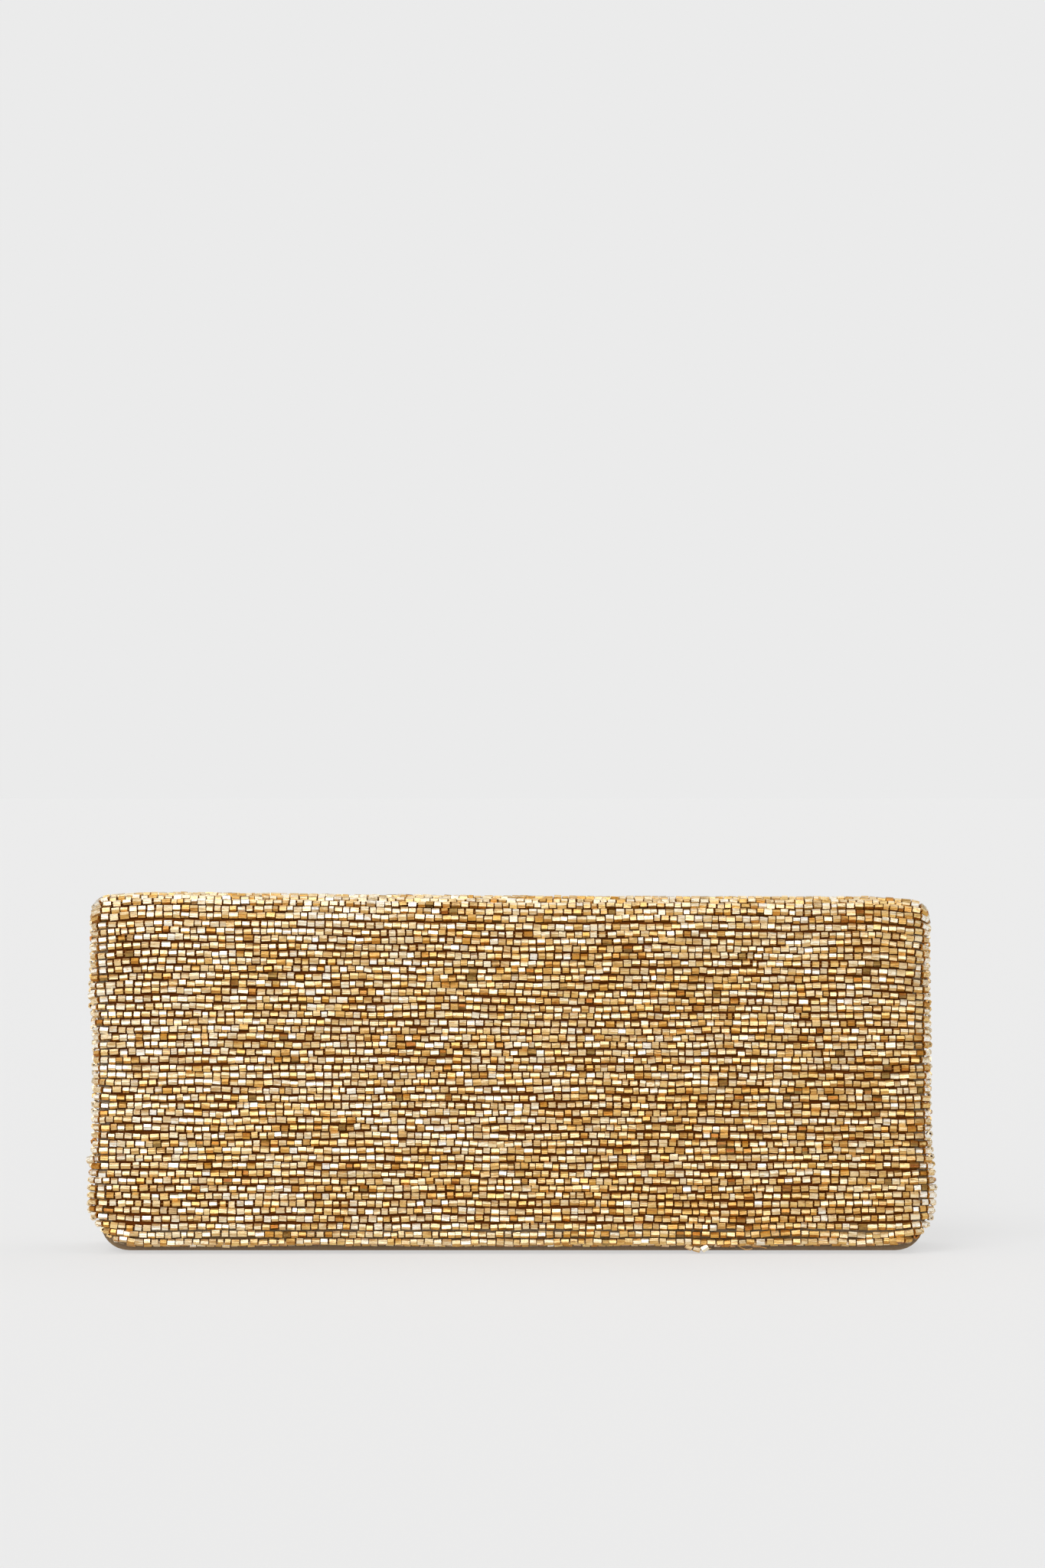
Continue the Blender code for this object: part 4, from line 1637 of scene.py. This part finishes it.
@dataclass
class Strays:
    """Beads and thread ends that have worked loose at the flap's lower edge and left side."""

    cut: Cut
    wear: Wardrobe
    seed: int = 77
    end_radius: float = 0.14 * MM

    def build(self) -> None:
        """Make the loose beads and the thread ends."""
        skin = self.cut.wall("flap", -1.0)
        length = self.cut.wall_length
        batch = BeadBatch(self.seed)
        for x, below, out, tilt, tone in (
            (50.4, 0.5, 0.9, -0.50, 0.62), (52.6, 1.2, 0.8, -0.25, 0.80), (54.9, 0.9, 0.9, 0.55, 0.95),
        ):
            v = length + below * MM - 0.3 * MM
            centre = skin.place(np.array([x * MM]), np.array([v]), np.array([out * MM]))
            axis = np.array([[math.cos(tilt), 0.0, math.sin(tilt)]])
            batch.add(centre, axis, skin.outward, 2.2 * MM, tone)
        for x, height, tone in ((-119.9, 26.6, 0.95), (-119.4, 73.5, 0.93)):
            v = (self.cut.shoulder - height * MM) / math.cos(self.cut.lean)
            centre = skin.place(np.array([x * MM]), np.array([v]), np.array([0.5 * MM]))
            batch.add(centre, np.array([[0.9, -0.35, 0.2]]), skin.outward, 2.3 * MM, tone)
        dress(batch.piece("loose_beads"), self.wear.beads, "flap", Slot.BEADING)
        ends = TubeBatch(5)
        for start, reach, drop, bend in (
            (49.2, 7.5, 1.2, 0.8), (63.0, 5.5, 1.5, -0.7), (67.5, 5.0, 1.1, 0.9),
        ):
            t = np.linspace(0.0, 1.0, 12)
            x = (start + reach * t) * MM
            v = length - 0.5 * MM + (drop * np.sin(t * math.pi * 0.6) + 0.25 * bend * np.sin(t * 7.0)) * MM
            ends.add(skin.place(x, v, 0.5 * MM + 0.5 * MM * t * bend), self.end_radius, skin.outward)
        dress(ends.piece("thread_ends"), self.wear.bead_thread, "flap", Slot.SATIN)


# ---------------------------------------------------------------------------------------------
# The insides of the walls, the pouch and the snap
# ---------------------------------------------------------------------------------------------


def bored(piece: Piece, place: Array, outward: Array, radius: float) -> Piece:
    """Cut a round hole through a piece.

    Args:
        piece: The piece.
        place: The hole's middle.
        outward: The hole's direction.
        radius: The hole's radius.

    Returns:
        The same piece with its hole.
    """
    work = bmesh.new()
    bmesh.ops.create_cone(work, cap_ends=True, segments=48, radius1=radius, radius2=radius, depth=0.01)
    turn = Vector(outward).to_track_quat("Z", "Y").to_matrix().to_4x4()
    bmesh.ops.transform(work, matrix=Matrix.Translation(Vector(place)) @ turn, verts=work.verts)
    mesh = bpy.data.meshes.new("drill")
    work.to_mesh(mesh)
    work.free()
    drill = bpy.data.objects.new("drill", mesh)
    bpy.context.scene.collection.objects.link(drill)
    hole = piece.modifiers.new("hole", "BOOLEAN")
    hole.operation, hole.object, hole.solver = "DIFFERENCE", drill, "EXACT"
    graph = bpy.context.evaluated_depsgraph_get()
    cut = bpy.data.meshes.new_from_object(piece.evaluated_get(graph))
    piece.modifiers.clear()
    piece.data = cut
    bpy.data.objects.remove(drill)
    return piece


@dataclass
class WallInside:
    """Felt and lining behind the beaded cloth."""

    cut: Cut
    wear: Wardrobe
    name: str
    body: str
    side: float
    outline: Outline
    holes: dict
    felt_face: float = -0.5 * MM
    felt: float = 0.8 * MM
    turn_start: float = 0.05 * MM
    turn_end: float = 1.4 * MM
    turn_face: float = -0.55 * MM

    def build(self) -> None:
        """Make the felt and the lining."""
        skin = self.cut.wall(self.body, self.side, draped=False)
        sewing = Sewing(self.wear)
        middle = skin.place(0.0, self.cut.wall_length - self.cut.snap_rise, 0.0)
        padding = sewing.panel(f"{self.name}_felt", skin, self.outline, self.felt_face, self.felt, 0.03 * MM)
        lining = self.lining(skin)
        for part, piece in (("felt", padding), ("lining", lining)):
            if part in self.holes:
                bored(piece, middle, skin.outward, self.holes[part])
        dress(padding, self.wear.felt, self.body, Slot.FELT, f"{self.name}_padding")
        dress(lining, self.wear.lining, self.body, Slot.LINING, f"{self.name}_lining")

    def lining(self, skin: Skin) -> Piece:
        """Make the lining, which turns over the upper edge of the board to meet the fold's lining."""
        turned = np.linspace(self.turn_start, self.turn_end + 0.2 * MM, 14)
        v = np.concatenate([turned, self.outline.stations(40)[1:]])[:, None]
        x = self.outline.half(v) * np.linspace(-1.0, 1.0, 81)[None, :]
        v = np.broadcast_to(v, x.shape)
        uneven = 0.04 * MM * soft_noise(x / 0.009, v / 0.008 + self.side, 91)
        ledge = (self.turn_face - self.cut.lining_face) * smooth_step(self.turn_end, self.turn_start, v)
        face = self.cut.lining_face + uneven + ledge
        outer, inner = skin.place(x, v, face), skin.place(x, v, face - self.cut.cloth)
        return closed_sheet(f"{self.name}_inside", outer, inner)


@dataclass
class SlipPocket:
    """The flat pocket sewn on the back's lining."""

    cut: Cut
    wear: Wardrobe
    foot: float
    rise: float = 20 * MM
    width: float = 120 * MM
    height: float = 45 * MM
    face: float = -3.4 * MM
    gape: float = 0.5 * MM
    seam_inset: float = 1.3 * MM
    band_gap: float = 0.3 * MM
    band_seam: float = 0.8 * MM

    def build(self) -> None:
        """Make the pocket, its band and its stitches."""
        skin = self.cut.wall("pouch", 1.0, draped=False)
        seam, half = self.foot - self.rise, self.width / 2
        mouth = seam - self.height
        v = np.linspace(mouth, seam, 40)[:, None]
        x = half * np.linspace(-1.0, 1.0, 61)[None, :]
        v, x = np.broadcast_arrays(v, x)
        loose = self.gape * smooth_step(seam, mouth, v) * (1 - (x / half) ** 2)
        crease = 0.06 * MM * soft_noise(x / 0.011, v / 0.009, 61)
        face = self.face - loose + crease
        pocket = closed_sheet("pocket_cloth", skin.place(x, v, face), skin.place(x, v, face - self.cut.cloth))
        dress(pocket, self.wear.lining, "pouch", Slot.LINING, "slip_pocket")
        self.band(skin, mouth, half)
        side, low = half - self.seam_inset, seam - self.seam_inset
        sides = np.array([[-side, mouth], [-side, low], [side, low], [side, mouth]])
        level = self.face - self.cut.cloth
        stitches = Sewing(self.wear).stitches("pocket_stitches", skin, sides, level, -1.0)
        dress(stitches, self.wear.sewing, "pouch", Slot.SATIN)

    def band(self, skin: Skin, mouth: float, half: float) -> None:
        """Make the satin band along the pocket's mouth."""
        x = np.linspace(-half, half, 61)
        loose = self.gape * (1 - (x / half) ** 2)
        section = [
            (0.0, -4.0), (0.3, -4.12), (3.2, -4.12), (3.5, -3.9),
            (3.5, -3.45), (3.2, -3.36), (0.3, -3.36), (0.0, -3.45),
        ]
        rings = np.array(section) * MM
        v = mouth - self.band_gap - rings[None, :, 0]
        w = rings[None, :, 1] - loose[:, None]
        points = skin.place(np.broadcast_to(x[:, None], w.shape), np.broadcast_to(v, w.shape), w)
        piece = closed_roll("pocket_band", points)
        dress(piece, self.wear.satin, "pouch", Slot.SATIN, "pocket_hem")
        line = np.stack([x, np.full_like(x, mouth - self.band_gap - self.band_seam)], axis=-1)
        stitches = Sewing(self.wear).stitches("pocket_band_stitches", skin, line, -4.3 * MM, -1.0)
        dress(stitches, self.wear.sewing, "pouch", Slot.SATIN)


@dataclass
class FrontWall:
    """The pouch's front wall: satin cover, felt, lining and the rounded binding along the mouth."""

    cut: Cut
    wear: Wardrobe
    felt_face: float = -0.7 * MM
    felt: float = 0.6 * MM
    socket: float = 7.3 * MM
    binding: float = 1.8 * MM
    seam_inset: float = 1.6 * MM
    seam_step: float = 0.8 * MM
    mouth_seam: float = 1.0 * MM

    def build(self) -> None:
        """Make the wall's pieces."""
        skin, sewing = self.cut.front_wall(), Sewing(self.wear)
        half, height, radius = self.cut.pouch_half, self.cut.pouch_height, self.cut.pouch_corner
        cover = Outline(half, height, 0.0, radius)
        inset = self.cut.layer_inset
        stiff = Outline(half - inset, height, inset, radius - inset)
        socket = (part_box("socket_shell")[0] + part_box("socket_shell")[1]) / 2
        outer = sewing.panel("front_satin", skin, cover, 0.0, self.cut.cloth)
        padding = sewing.panel("front_felt", skin, stiff, self.felt_face, self.felt, 0.02 * MM)
        face = self.cut.front_lining_face
        inside = sewing.panel("front_inside", skin, cover, face, self.cut.cloth, 0.03 * MM)
        for piece in (outer, padding):
            bored(piece, np.array(socket), skin.outward, self.socket)
        dress(outer, self.wear.satin, "front_wall", Slot.SATIN, "front_cover")
        dress(padding, self.wear.felt, "front_wall", Slot.FELT, "front_padding")
        dress(inside, self.wear.lining, "front_wall", Slot.LINING, "front_lining")
        seam, _ = cover.inside(self.seam_inset).edge(self.seam_step)
        stitches = sewing.stitches("front_stitches", skin, seam, 0.0, 1.0)
        dress(stitches, self.wear.sewing, "front_wall", Slot.SATIN)
        self.bind(skin, half, height)

    def bind(self, skin: Skin, half: float, height: float) -> None:
        """Make the binding, slightly uneven along its length, and its stitches."""
        x = np.linspace(-half, half, 121)
        angles = np.linspace(0.0, 2 * math.pi, 20, endpoint=False)
        deep = -self.cut.front_lining_face + self.cut.cloth
        tall = self.binding - self.cut.gap
        corner = np.sign(np.cos(angles)) * np.abs(np.cos(angles)) ** 0.45
        rise = np.sign(np.sin(angles)) * np.abs(np.sin(angles)) ** 0.6
        swell = 1.0 + 0.05 * soft_noise(x / 0.006, np.zeros_like(x), 71)[:, None]
        v = height + self.cut.gap + tall / 2 + tall / 2 * rise[None] * swell
        w = -deep / 2 + deep / 2 * corner[None] * (2.0 - swell)
        points = skin.place(np.broadcast_to(x[:, None], v.shape), v, w)
        piece = closed_roll("mouth_piping", points)
        dress(piece, self.wear.satin, "front_wall", Slot.SATIN, "mouth_binding")
        line = np.stack([x, np.full_like(x, height - self.mouth_seam)], axis=-1)
        stitches = Sewing(self.wear).stitches("mouth_stitches", skin, line, 0.0, 1.0)
        dress(stitches, self.wear.sewing, "front_wall", Slot.SATIN)


@dataclass
class PouchSides:
    """The base, turned up round the corners, and the gussets that fold inwards at the mouth."""

    cut: Cut
    wear: Wardrobe
    base_board: float = 1.2 * MM
    gusset_cloth: float = 0.5 * MM
    gusset_fold: float = 7.0 * MM
    gusset_rumple: float = 0.25 * MM

    def build(self) -> None:
        """Make the base's two cloths and both gussets."""
        under = self.cut.cloth + self.cut.gap + self.base_board + self.cut.gap
        self.base("base_satin", 0.0, self.wear.satin, Slot.SATIN, "base_cover")
        self.base("base_inside", under, self.wear.lining, Slot.LINING, "base_lining")
        for name, side in (("gusset_left", -1.0), ("gusset_right", 1.0)):
            self.gusset(name, side)

    def turned_up(self, depth: float) -> Array:
        """Points (x, z) at a depth inside the pouch's outline: down, along and up."""
        radius = self.cut.pouch_corner - depth
        angles = np.linspace(0.0, math.pi / 2, 10)
        middle = self.cut.pouch_half - self.cut.pouch_corner
        rise = self.cut.pouch_corner - radius * np.cos(angles)
        arc = np.stack([middle + radius * np.sin(angles), rise], axis=-1)
        along = np.stack([np.linspace(-middle, middle, 60)[1:-1], np.full(58, depth)], axis=-1)
        top = np.array([[self.cut.pouch_half - depth, self.cut.base_rise]])
        right = np.concatenate([arc, top])
        return np.concatenate([right[::-1] * np.array([-1.0, 1.0]), along, right])

    def base(self, name: str, depth: float, material: Material, slot: Slot, node: str) -> None:
        """Make one of the base's cloths.

        Args:
            name: The piece's name.
            depth: How far inside the pouch's outline it lies.
            material: Its finish.
            slot: The record's slot.
            node: The frame's piece that it stands for.
        """
        faces = []
        for level in (depth, depth + self.cut.cloth):
            line = self.turned_up(level)
            x, z = line[:, :1], line[:, 1:]
            front = self.cut.front_inner(z) + self.cut.gap
            back = self.cut.back_inner(z) - self.cut.gap
            y = front + (back - front) * np.linspace(0.0, 1.0, 13)[None]
            faces.append(np.stack([np.broadcast_to(x, y.shape), y, np.broadcast_to(z, y.shape)], axis=-1))
        piece = closed_sheet(name, *faces)
        dress(piece, material, "pouch", slot, node)
        line = self.turned_up(depth)

    def gusset(self, name: str, side: float) -> None:
        """Make a gusset, creased down its middle."""
        foot = self.cut.base_rise + self.cut.gap
        rise = self.cut.shoulder - self.cut.front_drop - foot
        share = np.linspace(0.0, 1.0, 40)[:, None]
        across = np.linspace(0.0, 1.0, 25)[None, :]
        height = np.broadcast_to(foot + rise * share, (len(share), across.size))
        start = self.cut.front_inner(height) + self.cut.gap
        end = self.cut.back_inner(height) - self.cut.gap
        crease = 1.0 - np.sqrt((2 * across - 1) ** 2 + 0.015)
        rumple = self.gusset_rumple * share * soft_noise(height / 0.012 + side, across * 5.0, 81)
        fold = np.maximum(self.gusset_fold * share * np.maximum(crease, 0.0) + rumple, 0.0)
        outer = self.cut.pouch_half - fold
        y = start + (end - start) * across
        grids = [np.stack([side * (outer - level), y, height], axis=-1) for level in (0.0, self.gusset_cloth)]
        piece = closed_sheet(f"{name}_cloth", *grids)
        dress(piece, self.wear.satin, None, Slot.SATIN, name)
        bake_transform(piece)


@dataclass
class Hardware:
    """The fixed frame's own pieces that show as they are: boards and the magnetic snap."""

    wear: Wardrobe
    boards: tuple = ("back_board", "flap_board", "front_board", "base_board")
    gilt: tuple = ("snap_stud", "stud_washer", "socket_shell", "socket_washer")
    magnet: str = "socket_magnet"
    metal_edge: float = 0.12 * MM
    board_edge: float = 0.15 * MM

    def build(self) -> None:
        """Dress each piece and soften its edges."""
        for name in self.boards:
            self.finish(name, self.wear.card, self.board_edge)
        for name in self.gilt:
            self.finish(name, self.wear.gilt, self.metal_edge)
        self.finish(self.magnet, self.wear.magnet, self.metal_edge)

    def finish(self, name: str, material: Material, edge: float) -> None:
        """Give one piece its finish and its rounded edges."""
        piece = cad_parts[name]
        piece.data.materials.clear()
        piece.data.materials.append(material)
        rounding = piece.modifiers.new("edges", "BEVEL")
        rounding.width = edge
        rounding.segments = 2
        rounding.limit_method = "ANGLE"
        rounding.angle_limit = math.radians(40.0)
        piece.data.shade_smooth()
        piece.data.set_sharp_from_angle(angle=math.radians(35.0))
        log.info("%s: dressed", name)


# ---------------------------------------------------------------------------------------------
# The studio
# ---------------------------------------------------------------------------------------------


@dataclass(frozen=True)
class Lamp:
    """A far, wide soft light: where it stands as seen from the bag, how wide it looks and its strength."""

    name: str
    azimuth: float
    elevation: float
    spread: float
    power: float
    colour: Colour = (1.0, 1.0, 1.0)

    @property
    def towards(self) -> Vector:
        """The direction from the bag to the light. Azimuth 0 is straight in front, 90 on the right."""
        turn, rise = math.radians(self.azimuth), math.radians(self.elevation)
        return Vector((math.sin(turn) * math.cos(rise), -math.cos(turn) * math.cos(rise), math.sin(rise)))


@dataclass
class Studio:
    """A pale paper floor, wide soft lights and the camera."""

    floor_radius: float = 40.0
    floor_level: float = -0.05 * MM
    camera_place: tuple = (0.0029, -1.2600, 0.1340)
    lens: float = 100.0
    sky: float = 0.34
    backdrop: float = 0.831
    lamps: tuple = (
        Lamp("front", -8.0, 16.0, 42.0, 1.30),
        Lamp("key", -34.0, 48.0, 34.0, 0.95, (1.0, 0.99, 0.97)),
        Lamp("top", 150.0, 70.0, 70.0, 0.85),
        Lamp("left", -82.0, 10.0, 60.0, 0.60),
        Lamp("right", 84.0, 10.0, 60.0, 0.30),
    )

    def build(self) -> None:
        """Make the studio."""
        self.paper()
        self.air()
        for lamp in self.lamps:
            self.light(lamp)
        self.camera()

    def paper(self) -> None:
        """Lay the paper: a wide disc in rings that grow outwards."""
        radii = np.geomspace(0.02, self.floor_radius, 24)
        around = np.linspace(0.0, 2 * math.pi, 97)[:-1]
        points = np.stack([radii[:, None] * np.cos(around), radii[:, None] * np.sin(around),
                           np.full((len(radii), len(around)), self.floor_level)], axis=-1)
        index = np.arange(points[..., 0].size).reshape(points.shape[:2])
        faces = quads_of(np.concatenate([index, index[:, :1]], axis=1))[:, ::-1].tolist()
        faces.append(index[0].tolist())
        paper = make_mesh("paper_floor", points.reshape(-1, 3), faces, tidy=False)
        paper.data.materials.append(Paper().make())

    def air(self) -> None:
        """Light everything evenly from the sky, and show the camera a plain pale tone."""
        world = bpy.data.worlds.new("studio_air")
        world.use_nodes = True
        work = Nodes(world.node_tree)
        background = world.node_tree.nodes["Background"]
        rays = work.add("ShaderNodeLightPath")
        sky, backdrop = (self.sky,) * 3 + (1.0,), (self.backdrop,) * 3 + (1.0,)
        value = work.mix(rays.outputs["Is Camera Ray"], sky, backdrop)
        work.put(background.inputs["Color"], value)
        bpy.context.scene.world = world

    def light(self, lamp: Lamp) -> None:
        """Hang one light."""
        data = bpy.data.lights.new(lamp.name, "SUN")
        data.angle = math.radians(lamp.spread)
        data.energy = lamp.power
        data.color = lamp.colour
        made = bpy.data.objects.new(lamp.name, data)
        made.rotation_euler = lamp.towards.to_track_quat("Z", "Y").to_euler()
        bpy.context.scene.collection.objects.link(made)

    def camera(self) -> None:
        """Set up the camera, level and straight in front."""
        data = bpy.data.cameras.new("camera")
        data.lens = self.lens
        data.sensor_width = 36.0
        data.clip_start = 0.01
        data.clip_end = 50.0
        made = bpy.data.objects.new("camera", data)
        made.location = self.camera_place
        made.rotation_euler = (math.pi / 2, 0.0, 0.0)
        bpy.context.scene.collection.objects.link(made)
        scene = bpy.context.scene
        scene.camera = made
        scene.view_settings.view_transform = "Standard"


def main() -> None:
    """Build the studio and the bag, piece by piece."""
    logging.basicConfig(level=logging.INFO, format="%(name)s %(message)s")
    Studio().build()
    cut, wear = Cut(), Wardrobe()
    inset = cut.layer_inset
    back_foot = (cut.shoulder - cut.wall_foot) / math.cos(cut.lean)
    back_outline = Outline(cut.pouch_half, cut.fold_ease, back_foot, cut.pouch_corner)
    flap_half, flap_foot = cut.half_width - inset, cut.wall_length - inset
    flap_outline = Outline(flap_half, cut.fold_ease, flap_foot, cut.lower_corner - inset)
    BeadedWall(cut, wear, "flap", "flap", -1.0, cut.wall_length - BeadedWall.hem_inset, 100).build()
    BeadedWall(cut, wear, "back", "pouch", 1.0, back_foot + BACK_HEM_DROP, 200).build()
    BeadedFold(cut, wear, 300).build()
    Strays(cut, wear).build()
    WallInside(cut, wear, "flap", "flap", -1.0, flap_outline, FLAP_HOLES).build()
    WallInside(cut, wear, "back", "pouch", 1.0, back_outline, {}).build()
    SlipPocket(cut, wear, back_foot).build()
    FrontWall(cut, wear).build()
    PouchSides(cut, wear).build()
    Hardware(wear).build()


if __name__ == "__main__":
    main()
